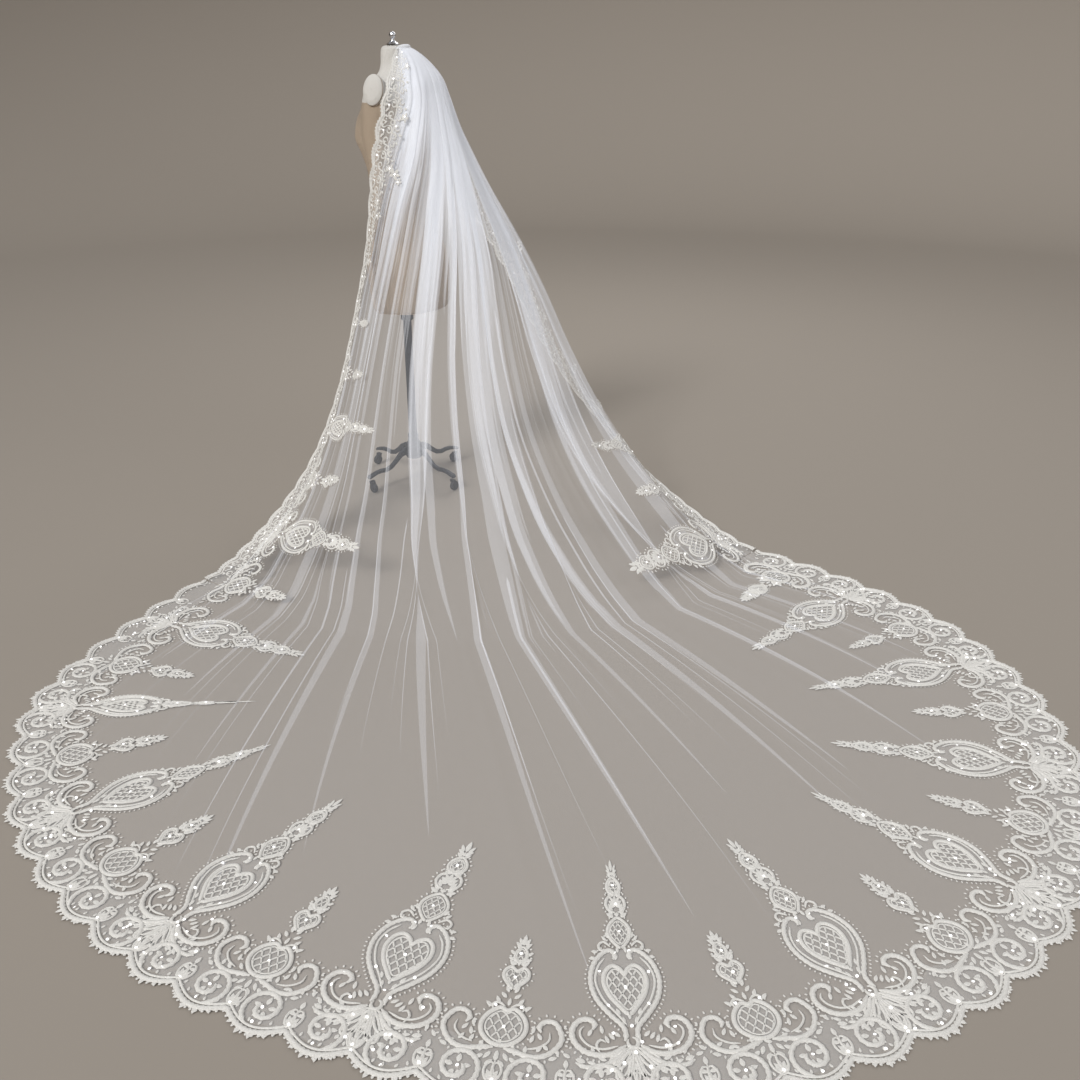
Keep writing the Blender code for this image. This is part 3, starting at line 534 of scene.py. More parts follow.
DEEP = 64
map_p = np.zeros((len(edge_s), DEEP + 7, 3))
map_n = np.zeros_like(map_p)
q, t, p, go = edge_q.copy(), edge_t.copy(), edge_p.copy(), into.copy()
for k in range(-6, 1):
    map_p[:, k + 6] = edge_p + into * (k * STEP)
    map_n[:, k + 6] = edge_n
for k in range(1, DEEP + 1):
    aim = p + go * STEP
    q, t = settle(q, t, aim, 2)
    p = pick(BASE, q, t)
    n = unit(pick(BASE_N, q, t))
    go = unit(go - n * (go * n).sum(1)[:, None])
    map_p[:, k + 6] = p + n * pick(cover, q, t)[:, None]
    map_n[:, k + 6] = n
lace_wide = at_rows("lace", edge_t)
narrow = np.clip(lace_wide / 0.090, 0.18, 1.0)
narrow = np.where(edge_t > 8, 1.0, narrow)


def lay(s, d, lift=0.0):
    """Points and normals on the cloth at distance s along the edge and d in from it."""
    s, d = np.asarray(s, float), np.asarray(d, float)
    k = np.clip((s - edge_s[0]) / STEP, 0, len(edge_s) - 1.001)
    d = d * np.interp(s, edge_s, narrow)
    j = np.clip(d / STEP + 6, 0, DEEP + 5.999)
    a, b = k.astype(int), j.astype(int)
    u, v = (k - a)[..., None], (j - b)[..., None]

    def read(g):
        return ((g[a, b] * (1 - v) + g[a, b + 1] * v) * (1 - u)
                + (g[a + 1, b] * (1 - v) + g[a + 1, b + 1] * v) * u)
    n = unit(read(map_n))
    return read(map_p) + n * (0.0013 + np.asarray(lift))[..., None], n


# ---------------------------------------------------------------- embroidery
def spline(points, step, closed=False):
    """Smooth line through the points, with equal steps."""
    p = np.asarray(points, float)
    if closed:
        p = np.concatenate([p[-1:], p, p[:2]])
    else:
        p = np.concatenate([2 * p[:1] - p[1:2], p, 2 * p[-1:] - p[-2:-1]])
    out = []
    for a, b, c, d in zip(p, p[1:], p[2:], p[3:]):
        n = max(2, int(np.linalg.norm(c - b) / 0.003))
        x = np.linspace(0, 1, n, endpoint=False)[:, None]
        out.append(0.5 * (2 * b + (c - a) * x + (2 * a - 5 * b + 4 * c - d) * x**2
                          + (3 * b - a - 3 * c + d) * x**3))
    out.append(p[-2:-1])
    out = np.concatenate(out)
    r = np.concatenate([[0], np.cumsum(np.linalg.norm(np.diff(out, axis=0), axis=1))])
    n = max(3, int(round(r[-1] / step)) + 1)
    at = np.linspace(0, r[-1], n)
    return np.stack([np.interp(at, r, out[:, 0]), np.interp(at, r, out[:, 1])], axis=1)


class Work:
    """One embroidered piece: its cords, leaves, fills and sequins."""

    def __init__(self):
        self.cords, self.leaves, self.fills, self.spark = [], [], [], []

    def cord(self, pts, half, high=None, rough=0.0, step=0.0065, taper=True, closed=False,
             smooth=True):
        line = spline(pts, step, closed) if smooth else np.asarray(pts, float)
        n = len(line)
        width = np.full(n, half)
        if rough:
            width *= 1 + rough * np.where(np.arange(n) % 2 == 0, 1.0, -1.0)
        if taper and not closed:
            ends = np.minimum(np.arange(n), np.arange(n)[::-1])
            width *= np.minimum(1.0, 0.35 + ends * step / 0.02)
        self.cords.append((line, width, high if high else half * 0.75))

    def leaf(self, s, d, angle, length, width, high=0.0018):
        self.leaves.append((s, d, angle, length, width, high))

    def sequin(self, s, d):
        self.spark.append((s, d))

    def fill(self, outline, lift=-0.0004):
        self.fills.append((np.asarray(outline, float), lift))


def inside(poly, pts):
    x, y = pts[:, 0], pts[:, 1]
    hit = np.zeros(len(pts), bool)
    for (x0, y0), (x1, y1) in zip(poly, np.roll(poly, -1, axis=0)):
        cross = (y0 > y) != (y1 > y)
        hit ^= cross & (x < (x1 - x0) * (y - y0) / (y1 - y0 + 1e-12) + x0)
    return hit


class Stamp:
    """Places a motif's own drawing at a place on the edge, at a scale."""

    def __init__(self, work, s, scale=1.0, base=0.0, flip=1):
        self.w, self.s, self.k, self.base, self.flip = work, s, scale, base, flip

    def to(self, pts):
        pts = np.asarray(pts, float).reshape(-1, 2)
        return np.stack([self.s + self.flip * pts[:, 0] * self.k,
                         self.base + pts[:, 1] * self.k], axis=1)

    def both(self, pts, half, **more):
        for side in (1, -1):
            self.w.cord(self.to([(side * u, v) for u, v in pts]), half * max(self.k, 0.6), **more)

    def one(self, pts, half, **more):
        self.w.cord(self.to(pts), half * max(self.k, 0.6), **more)

    def leaf(self, u, v, angle, length, width, both=True):
        for side in ((1, -1) if both else (1,)):
            (s, d), = self.to([(side * u, v)])
            self.w.leaf(s, d, side * self.flip * angle, length * self.k, width * self.k)

    def loop(self, half_pts, half, lattice=0.0, fill=True, inner=0.0, centre=None, thin=0.0014):
        """Closed shape symmetrical about the middle, from its right-hand half."""
        left = [(-u, v) for u, v in reversed(half_pts) if u > 1e-6]
        shape = list(half_pts) + left
        line = spline(self.to(shape), 0.006, closed=True)
        self.w.cord(line, half * max(self.k, 0.6), closed=True, smooth=False)
        c = line.mean(axis=0) if centre is None else self.to([centre])[0]
        if inner:
            self.w.cord(c + (line - c) * inner, thin * 1.1, high=0.0010, closed=True, smooth=False)
        if fill:
            self.w.fill(line)
        if lattice:
            pitch = lattice * self.k
            poly = c + (line - c) * (inner or 0.94)
            reach = np.abs(line - c).max() * 1.5
            for sign in (1, -1):
                for k in range(-int(reach / pitch) - 1, int(reach / pitch) + 2):
                    a = np.linspace(-reach, reach, 90)
                    off = k * pitch
                    pts = c + np.stack([(a + off) * 0.75, sign * (a - off)], axis=1)
                    keep = inside(poly, pts)
                    idx = np.flatnonzero(keep)
                    for seg in np.split(idx, np.flatnonzero(np.diff(idx) > 1) + 1):
                        if len(seg) > 2:
                            part = pts[[seg[0], seg[len(seg) // 2], seg[-1]]]
                            self.w.cord(part, thin * 1.22, high=0.0015, step=0.012, taper=False,
                                        smooth=False)

    def beads(self, pts, offset, pitch, size=0.0042, side_pair=True):
        """Small picots that follow a line on its outer side."""
        for side in ((1, -1) if side_pair else (1,)):
            line = spline(self.to([(side * u, v) for u, v in pts]), pitch * max(self.k, 0.7))
            head = np.gradient(line, axis=0)
            head /= np.maximum(np.linalg.norm(head, axis=1), 1e-9)[:, None]
            out = np.stack([head[:, 1], -head[:, 0]], axis=1) * side * self.flip
            for (s, d), o in zip(line, out):
                ang = math.atan2(o[0], o[1])
                s2, d2 = s + o[0] * offset * self.k, d + o[1] * offset * self.k
                self.w.leaf(s2, d2, ang, size * 1.5 * max(self.k, 0.7), size * max(self.k, 0.7),
                            0.0012)


def rosette(work, s, d, k, flip=1, detail=True):
    """Round scroll with a spiral, a flower and sprigs toward the edge."""
    turn = [(math.radians(a), 0.043 - 0.033 * x) for a, x in
            zip(np.linspace(200, 200 + 470, 26), np.linspace(0, 1, 26)**1.15)]
    pts = [(s + flip * r * k * math.sin(a), d + r * k * math.cos(a)) for a, r in turn]
    work.cord(pts, 0.0050 * k, rough=0.16)
    for a in np.linspace(25, 335, 5 if detail else 4) + 180:
        ra = math.radians(a)
        work.leaf(s + flip * 0.008 * k * math.sin(ra), d + 0.008 * k * math.cos(ra), flip * ra,
                  0.018 * k, 0.0105 * k)
    work.sequin(s, d)
    for a in (120, 145, 170, 195, 220):          # sprigs on the outer side
        ra = math.radians(a)
        work.leaf(s + flip * 0.050 * k * math.sin(ra), d + 0.050 * k * math.cos(ra), flip * ra,
                  0.020 * k, 0.0098 * k)
    for a in (-75, -40, 40, 75):                  # curls on the inner side
        ra = math.radians(a)
        work.leaf(s + flip * 0.049 * k * math.sin(ra), d + 0.049 * k * math.cos(ra),
                  flip * (ra + 0.5), 0.018 * k, 0.0090 * k)


def big_motif(work, s, k=1.0, flip=1, arms=True):
    st = Stamp(work, s, k, base=0.0 if k > 0.95 else 0.055 * (1 - k), flip=flip)
    bulb = [(0.016, 0.112), (0.012, 0.128), (0.018, 0.147), (0.042, 0.171), (0.072, 0.208),
            (0.085, 0.250), (0.077, 0.290), (0.054, 0.317), (0.031, 0.325), (0.019, 0.312),
            (0.027, 0.301)]
    st.both(bulb, 0.0050, rough=0.14)
    st.both([(0.008, 0.148), (0.026, 0.172), (0.056, 0.207), (0.073, 0.248), (0.066, 0.283),
             (0.048, 0.305)], 0.0023)
    st.beads(bulb[2:9], 0.0095, 0.0098)
    outline = bulb[2:9]
    st.w.fill(st.to(outline + [(-u, v) for u, v in reversed(outline)]))
    heart = [(0, 0.172), (0.020, 0.190), (0.041, 0.215), (0.053, 0.245), (0.048, 0.272),
             (0.030, 0.286), (0.011, 0.279), (0, 0.265)]
    st.loop(heart, 0.0046, lattice=0.0142, fill=False, inner=0.84, centre=(0, 0.232), thin=0.0017)
    for u, v, a in ((0.012, 0.150, 0.2), (0.020, 0.170, 0.5), (0.0, 0.160, 0.0)):
        st.leaf(u, v, a, 0.017, 0.008, both=u > 0)
    st.both([(0.030, 0.334), (0.048, 0.347), (0.063, 0.338), (0.058, 0.324), (0.047, 0.328)],
            0.0030)
    for u, v, a in ((0.040, 0.350, 0.9), (0.034, 0.356, 0.5), (0.066, 0.320, 1.5),
                    (0.072, 0.305, 1.7), (0.020, 0.300, -0.4), (0.012, 0.318, -0.1)):
        st.leaf(u, v, a, 0.018, 0.009)
    ogee = [(0, 0.331), (0.015, 0.341), (0.031, 0.360), (0.034, 0.380), (0.021, 0.399),
            (0, 0.411)]
    st.loop(ogee, 0.0036, lattice=0.0118, inner=0.78, thin=0.0013)
    st.beads(ogee[1:6], 0.0075, 0.0105, 0.0052)
    for v, w in ((0.412, 1.1), (0.420, 0.8), (0.428, 0.5)):
        st.leaf(0.012, v, w, 0.026, 0.0115)
    for a, length in ((0, 0.031), (0.50, 0.029), (1.0, 0.027), (1.5, 0.024)):
        st.leaf(0.0, 0.444, a, length, 0.0125, both=a > 0)
    st.both([(0.004, 0.426), (0.021, 0.430), (0.033, 0.446), (0.029, 0.464), (0.016, 0.470),
             (0.011, 0.460)], 0.0036, rough=0.12)
    st.beads([(0.021, 0.428), (0.034, 0.446), (0.030, 0.465), (0.018, 0.473)], 0.0068, 0.0100,
             0.0052)
    crown = [(0, 0.476), (0.014, 0.480), (0.025, 0.493), (0.023, 0.509), (0.012, 0.522),
             (0, 0.528)]
    st.loop(crown, 0.0034, lattice=0.0100, inner=0.74, thin=0.0014, fill=False)
    st.beads(crown[1:5], 0.0068, 0.0100, 0.0052)
    for v, a in ((0.472, 1.3), (0.474, 0.7), (0.527, 0.9), (0.533, 0.5), (0.540, 1.1)):
        st.leaf(0.004, v, a, 0.021, 0.0100)
    for v in (0.414, 0.472, 0.532):
        st.leaf(0.0, v, 0, 0.013, 0.0105, both=False)
    st.leaf(0.0, 0.546, 0.0, 0.036, 0.0150, both=False)
    st.leaf(0.007, 0.545, 0.55, 0.026, 0.0105)
    st.leaf(0.006, 0.543, 1.15, 0.018, 0.0085)
    outline = [(0.014, 0.412), (0.032, 0.440), (0.030, 0.464), (0.014, 0.476), (0.024, 0.500),
               (0.012, 0.522), (0.013, 0.552), (0.0, 0.580)]
    st.w.fill(st.to(outline + [(-u, v) for u, v in reversed(outline[:-1])]))
    for u, v in ((0, 0.233), (0, 0.371), (0, 0.446), (0, 0.502), (0.062, 0.268), (-0.062, 0.268),
                 (0.045, 0.190), (-0.045, 0.190), (0, 0.144), (0.02, 0.318), (-0.02, 0.318)):
        if rng.random() < 0.8:
            work.sequin(*st.to([(u, v)])[0])
    for _ in range(int(14 * k)):
        u, v = rng.uniform(-0.11, 0.11), rng.uniform(0.0, 0.16)
        work.sequin(*st.to([(u, v)])[0])
    if not arms:
        return
    # the hub, its arms and the fan of pods below it
    st.one([(math.sin(a) * 0.011, 0.110 + math.cos(a) * 0.011) for a in np.linspace(0, 5.4, 8)],
           0.0040)
    arm = [(0.015, 0.104), (0.038, 0.088), (0.066, 0.083), (0.096, 0.090), (0.117, 0.110),
           (0.122, 0.134), (0.110, 0.154), (0.089, 0.159), (0.075, 0.149), (0.081, 0.136)]
    st.both(arm, 0.0056, rough=0.12)
    st.both([(0.030, 0.103), (0.060, 0.096), (0.086, 0.102), (0.103, 0.118), (0.106, 0.134),
             (0.098, 0.143)], 0.0024)
    st.beads(arm[2:9], 0.0100, 0.0105, 0.0048)
    st.both([(0.066, 0.088), (0.073, 0.104), (0.064, 0.116), (0.054, 0.110)], 0.0028)
    for u, v, a in ((0.048, 0.108, 0.4), (0.036, 0.116, 0.7), (0.090, 0.122, -0.5),
                    (0.024, 0.122, 0.9), (0.060, 0.128, 0.2)):
        st.leaf(u, v, a, 0.019, 0.0085)
    st.both([(0.012, 0.098), (0.034, 0.076), (0.066, 0.060), (0.094, 0.058), (0.112, 0.066)],
            0.0046, rough=0.12)
    st.both([(0.020, 0.088), (0.040, 0.064), (0.066, 0.046)], 0.0026)
    for u, v, a in ((0.054, 0.072, 1.2), (0.074, 0.064, 1.3), (0.094, 0.066, 1.0),
                    (0.044, 0.056, 2.4), (0.062, 0.056, 2.2), (0.084, 0.048, 2.3)):
        st.leaf(u, v, a, 0.018, 0.0085)
    for deg, length in ((0, 0.086), (24, 0.078), (46, 0.064)):
        a = math.radians(180 - deg)
        o, p = np.array([math.sin(a), math.cos(a)]), np.array([math.cos(a), -math.sin(a)])
        start = np.array([0.0, 0.102])
        pod = [start + o * length * x + p * 0.0135 * y for x, y in
               ((0.05, 0.1), (0.35, 0.65), (0.70, 1.0), (0.93, 0.62), (1.0, 0), (0.93, -0.62),
                (0.70, -1.0), (0.35, -0.65), (0.05, -0.1))]
        core = [start + o * length * x + p * 0.0065 * y for x, y in
                ((0.40, 0), (0.60, 0.8), (0.80, 0.6), (0.86, 0), (0.80, -0.6), (0.60, -0.8))]
        for side in ((1, -1) if deg else (1,)):
            st.w.cord(st.to([(side * u, v) for u, v in pod]), 0.0030 * k, rough=0.1)
            st.w.cord(st.to([(side * u, v) for u, v in core]), 0.0019 * k, closed=True)
            tip = start + o * (length + 0.003)
            st.leaf(side * tip[0], tip[1], side * a, 0.012, 0.008, both=False)


def small_motif(work, s, k=1.0, flip=1, arms=True):
    st = Stamp(work, s, k, base=0.0 if k > 0.95 else 0.060 * (1 - k), flip=flip)
    apple = [(0, 0.085), (0.021, 0.090), (0.041, 0.108), (0.046, 0.130), (0.036, 0.152),
             (0.015, 0.167), (0, 0.161)]
    st.loop(apple, 0.0046, lattice=0.0138, inner=0.80, centre=(0, 0.126), thin=0.0015)
    st.beads(apple[1:6], 0.0095, 0.0105)
    st.both([(0.006, 0.170), (0.022, 0.178), (0.034, 0.172), (0.031, 0.160)], 0.0028)
    for u, v, a in ((0.034, 0.166, 1.0), (0.020, 0.176, 0.6), (0.0, 0.172, 0.0),
                    (0.008, 0.190, 0.9), (0.006, 0.203, 0.5)):
        st.leaf(u, v, a, 0.019, 0.0090, both=u > 0)
    heart = [(0, 0.212), (0.015, 0.224), (0.029, 0.240), (0.028, 0.256), (0.015, 0.265),
             (0, 0.256)]
    st.loop(heart, 0.0036, lattice=0.0112, inner=0.78, centre=(0, 0.239), thin=0.0013)
    st.beads(heart[1:5], 0.0075, 0.0105)
    for u, v, a in ((0.010, 0.268, 0.9), (0.0, 0.268, 0.0), (0.014, 0.296, 1.1),
                    (0.008, 0.310, 0.5), (0.012, 0.283, 1.4)):
        st.leaf(u, v, a, 0.018, 0.0088, both=u > 0)
    oval = [(0, 0.276), (0.012, 0.284), (0.016, 0.296), (0.011, 0.309), (0, 0.317)]
    st.loop(oval, 0.0028, lattice=0.0095, inner=0.72, thin=0.0012)
    st.beads(oval[1:4], 0.0065, 0.0100, 0.0052)
    for v, a in ((0.272, 1.3), (0.276, 0.9), (0.316, 1.0), (0.322, 0.55)):
        st.leaf(0.004, v, a, 0.021, 0.0100)
    st.leaf(0.0, 0.320, 0.0, 0.030, 0.0130, both=False)
    for u, v in ((0, 0.126), (0, 0.239), (0, 0.296), (0.028, 0.170), (-0.028, 0.170)):
        if rng.random() < 0.8:
            work.sequin(*st.to([(u, v)])[0])
    if not arms:
        return
    arm = [(0.010, 0.080), (0.032, 0.076), (0.066, 0.069), (0.097, 0.079), (0.119, 0.110),
           (0.106, 0.143), (0.084, 0.147), (0.071, 0.134), (0.078, 0.122)]
    st.both(arm, 0.0052, rough=0.12)
    st.beads(arm[2:8], 0.0095, 0.0105, 0.0048)
    st.both([(0.052, 0.084), (0.075, 0.090), (0.094, 0.106), (0.094, 0.124)], 0.0023)
    for u, v, a in ((0.058, 0.098, 0.3), (0.060, 0.118, 0.1), (0.080, 0.106, -0.6)):
        st.leaf(u, v, a, 0.018, 0.0085)
    for u, v, a in ((0.0, 0.074, math.pi), (0.012, 0.070, math.pi - 0.6),
                    (0.024, 0.062, math.pi - 1.0)):
        st.leaf(u, v, a, 0.020, 0.009, both=u > 0)


def flower(work, s, d, k=1.0):
    for i in range(5):
        a = i * 2 * math.pi / 5
        work.leaf(s + 0.003 * math.sin(a), d + 0.003 * math.cos(a), a, 0.017 * k, 0.011 * k)
    work.sequin(s, d)


def reach(s):
    """How far the scallops stand out past the net's edge."""
    s = np.asarray(s, float)
    train = 0.004 + SCALLOP_TRAIN_DEPTH * np.abs(np.sin(4 * np.pi * (s - FIRST_MOTIF) / REPEAT))
    left = 0.002 + SCALLOP_TRIM_DEPTH * np.abs(np.sin(np.pi * (s - S0) / SCALLOP_TRIM))
    right = 0.002 + SCALLOP_TRIM_DEPTH * np.abs(np.sin(np.pi * (S1 - s) / SCALLOP_TRIM))
    a, b = smooth_step(s, -0.04, 0.04), smooth_step(s, SR - 0.04, SR + 0.04)
    return left * (1 - a) + train * a * (1 - b) + right * b


def edge_cords(work, start, end):
    """The corded edge: a thick outer cord, a finer one inside it and picots between."""
    s = np.arange(start, end, 0.0055)
    out = -reach(s)
    work.cord(np.stack([s, out + 0.0058], axis=1), 0.0056, high=0.0040, rough=0.20,
              taper=False, smooth=False)
    work.cord(np.stack([s, out + 0.0165], axis=1), 0.0026, high=0.0020, taper=False, smooth=False)
    for x in np.arange(start + 0.005, end, 0.0115):
        work.leaf(x, float(-reach(x)) + 0.0008, math.pi, 0.0065, 0.0060, 0.0018)
    for x in np.arange(start, end, 0.021):
        work.leaf(x, float(-reach(x)) + 0.0225, rng.uniform(-0.6, 0.6), 0.010, 0.0055, 0.0014)


def trim_unit(work, s, flip, turn, width=0.094):
    """One scallop of the narrow hanging lace."""
    k = width / 0.094

    def at(pts):
        return [(s + flip * u, v * k) for u, v in pts]
    for cu, cv, r, turn0 in ((-0.022, 0.018, 0.0150, 0.4), (0.012, 0.016, 0.0165, 2.2),
                             (-0.004, 0.044, 0.0155, 4.0), (0.030, 0.042, 0.0145, 1.0),
                             (-0.032, 0.052, 0.0125, 5.2), (0.012, 0.070, 0.0140, 3.1),
                             (-0.018, 0.076, 0.0120, 0.2), (0.037, 0.072, 0.0110, 4.6)):
        sweep = np.linspace(0, 5.6, 9)
        work.cord(at([(cu + r * (1 - 0.10 * x) * math.sin(turn0 + x),
                       cv + r * (1 - 0.10 * x) * math.cos(turn0 + x)) for x in sweep]),
                  0.0030, high=0.0022, rough=0.15, step=0.0055)
    work.cord(at([(-0.042, 0.030), (-0.036, 0.060), (-0.014, 0.062), (0.006, 0.058),
                  (0.022, 0.060), (0.042, 0.056)]), 0.0024)
    for u, v, a, length in ((0.012, 0.022, 2.0, 0.015), (-0.020, 0.018, -0.8, 0.016),
                            (-0.012, 0.036, 0.3, 0.015), (0.036, 0.014, 0.3, 0.017),
                            (0.038, 0.030, -0.3, 0.015), (-0.030, 0.058, 0.8, 0.016),
                            (0.010, 0.066, -0.9, 0.014), (0.026, 0.084, 0.6, 0.015),
                            (0.002, 0.088, 0.1, 0.014), (-0.020, 0.000, 2.6, 0.013),
                            (0.000, -0.002, 3.14, 0.013), (0.020, 0.000, 3.7, 0.013)):
        work.leaf(s + flip * u, v * k, flip * a, length * k, 0.0078 * k)
    if turn % 2 == 0:
        flower(work, s + flip * 0.030, 0.096 * k, 0.8 * k)
    work.sequin(s + flip * 0.002, 0.022 * k)
    if turn % 3 == 0:
        work.sequin(s - flip * 0.02, 0.07 * k)


class Cut:
    """The part of the edge that one piece of lace covers."""

    def __init__(self, start, end):
        self.start, self.end = start, end

    def has(self, s):
        return self.start <= s < self.end


train = Work()
edge_cords(train, 0.004, SR - 0.004)
k = -2
while True:
    s = FIRST_MOTIF + k * REPEAT / 4 + REPEAT / 8
    k += 1
    if s < 0.05:
        continue
    if s > SR - 0.05:
        break
    rosette(train, s, 0.029, 1.0, flip=1 if k % 2 else -1)
    train.cord([(s - 0.060, 0.010), (s - 0.066, 0.030), (s - 0.064, 0.055)], 0.0028)
for i, x in enumerate(np.arange(0.035, SR - 0.03, 0.0217)):   # sprigs at the inner side
    train.leaf(x, 0.080 + 0.006 * math.sin(i * 1.7), rng.uniform(-1.3, 1.3), 0.017, 0.0085)
    if i % 3 == 0:
        train.leaf(x, -0.002 + 0.5 * float(-reach(x)), rng.uniform(2.4, 3.9), 0.014, 0.0075)
for x in np.arange(FIRST_MOTIF % (REPEAT / 4), SR - 0.04, REPEAT / 4):   # where scallops meet
    if x < 0.05:
        continue
    for a, length in ((0, 0.026), (0.5, 0.022), (-0.5, 0.022), (1.0, 0.018), (-1.0, 0.018)):
        train.leaf(x, 0.014, a, length, 0.0095)
    for side in (1, -1):
        train.cord([(x, 0.006), (x + side * 0.012, 0.018), (x + side * 0.016, 0.036),
                    (x + side * 0.007, 0.050), (x, 0.044)], 0.0026)
    train.leaf(x, 0.052, 0.0, 0.018, 0.0100)
    train.sequin(x, 0.014)
    train.sequin(x + 0.065, -0.006)
k = -1
while FIRST_MOTIF + k * REPEAT < SR - 0.10:
    big_motif(train, FIRST_MOTIF + k * REPEAT, 1.0, flip=1)
    if FIRST_MOTIF + (k + 0.5) * REPEAT < SR - 0.04:
        small_motif(train, FIRST_MOTIF + (k + 0.5) * REPEAT, 1.0)
    k += 1
last_big = FIRST_MOTIF + (k - 1) * REPEAT

left, right = Work(), Work()
for work, side in ((left, 0), (right, 1)):
    top, touch = (S0, 0.0) if side == 0 else (S1, SR)
    sign = 1 if side == 0 else -1
    a, b = sorted((top + sign * 0.006, touch - sign * 0.004))
    edge_cords(work, a, b)
    n = int(abs(touch - top) / SCALLOP_TRIM)
    for i in range(n):
        s = top + sign * SCALLOP_TRIM * (i + 0.5)
        if abs(s - touch) < 0.035:
            continue
        trim_unit(work, s, sign, i)
    if side == 0:
        rows = [("small", -0.02, 0.95), ("big", -0.27, 0.80), ("small", -0.50, 0.80),
                ("big", -0.72, 0.58), ("small", -0.93, 0.62), ("small", -1.12, 0.42)]
    else:
        gap = SR - last_big
        rows = [("big", SR + (0.52 - gap if gap < 0.5 else 0.05), 0.90),
                ("small", SR + 0.26 + (0.52 - gap), 0.80), ("big", SR + 0.48 + (0.52 - gap), 0.62),
                ("small", SR + 0.70 + (0.52 - gap), 0.62),
                ("small", SR + 0.92 + (0.52 - gap), 0.42)]
        if gap > 0.30:
            rows.insert(0, ("small", last_big + 0.26, 0.95))
    for kind, s, k in rows:
        if kind == "big":
            big_motif(work, s, k, arms=k > 0.5)
        else:
            small_motif(work, s, k, arms=k > 0.6)
    # the sprig on the inner side of the lace near the bust
    x = np.interp(6.2, grid_t, run[:NT]) - touch_l if side == 0 else \
        SR + (touch_l - np.interp(6.2, grid_t, run[:NT])) * 0.92
    flower(work, x, 0.118, 1.0)
    flower(work, x + 0.02, 0.138, 0.7)
    work.cord([(x - 0.03, 0.10), (x - 0.01, 0.105), (x, 0.118)], 0.0022)


# ---------------------------------------------------------------- embroidery meshes
def cord_mesh(cords):
    lens = np.array([len(c[0]) for c in cords])
    line = np.concatenate([c[0] for c in cords])
    half = np.concatenate([c[1] for c in cords])
    high = np.concatenate([np.full(len(c[0]), c[2]) for c in cords])
    p, n = lay(line[:, 0], line[:, 1])
    ends = np.cumsum(lens)
    starts = ends - lens
    nxt, prv = np.arange(len(p)) + 1, np.arange(len(p)) - 1
    nxt[ends - 1] = ends - 1
    prv[starts] = starts
    tang = unit(p[nxt] - p[prv])
    side = unit(np.cross(n, tang))
    half = half * np.clip(np.interp(line[:, 0], edge_s, narrow) * 1.15, 0.35, 1.0)
    high = np.minimum(high, half * 0.9)
    verts = np.stack([p - side * half[:, None], p - side * (half * 0.55)[:, None]
                      + n * (high * 0.8)[:, None], p + side * (half * 0.55)[:, None]
                      + n * (high * 0.8)[:, None], p + side * half[:, None]], axis=1)
    i = np.setdiff1d(np.arange(len(p)), ends - 1)
    faces = np.concatenate([np.stack([i * 4 + k, (i + 1) * 4 + k, (i + 1) * 4 + k + 1,
                                      i * 4 + k + 1], axis=1) for k in range(3)])
    return verts.reshape(-1, 3), faces[:, ::-1]


LEAF = np.array([(0, 0), (0.16, 0.34), (0.44, 0.50), (0.76, 0.34), (1.0, 0),
                 (0.76, -0.34), (0.44, -0.50), (0.16, -0.34)])


def leaf_mesh(leaves):
    a = np.array(leaves, float)
    s, d, ang, length, width, high = a.T
    o = np.stack([np.sin(ang), np.cos(ang)], axis=1)
    x = np.stack([np.cos(ang), -np.sin(ang)], axis=1)
    pts = (np.stack([s, d], axis=1)[:, None] + o[:, None] * (LEAF[:, 0] * length[:, None])[..., None]
           + x[:, None] * (LEAF[:, 1] * width[:, None])[..., None])
    mid = np.stack([s, d], axis=1) + o * (length * 0.48)[:, None]
    all_pts = np.concatenate([pts, mid[:, None]], axis=1)
    lift = np.zeros(all_pts.shape[:2])
    lift[:, :8] = 0.0002
    lift[:, 8] = high
    p, _ = lay(all_pts[..., 0].ravel(), all_pts[..., 1].ravel(), lift.ravel())
    base = np.arange(len(a))[:, None, None] * 9
    tri = np.array([(k, 8, (k + 1) % 8) for k in range(8)])[None]
    return p, (base + tri).reshape(-1, 3)


def disc_mesh(spots):
    a = np.array(spots, float)
    a = a + rnd.normal(0, 0.0015, a.shape)
    p, n = lay(a[:, 0], a[:, 1], 0.0030)
    t1 = unit(np.cross(n, [0.3, 0.8, 0.1]))
    tilt = rnd.normal(0, 0.20, (len(a), 2))
    n = unit(n + t1 * tilt[:, :1] + np.cross(n, t1) * tilt[:, 1:])
    t1 = unit(np.cross(n, [0.3, 0.8, 0.1]))
    t2 = np.cross(n, t1)
    r = 0.0034
    ring = [p + (t1 * math.cos(x) + t2 * math.sin(x)) * r for x in np.arange(6) * math.pi / 3]
    verts = np.stack(ring + [p - n * 0.0006], axis=1).reshape(-1, 3)
    base = np.arange(len(a))[:, None, None] * 7
    tri = np.array([(k, (k + 1) % 6, 6) for k in range(6)])[None]
    return verts, (base + tri).reshape(-1, 3)


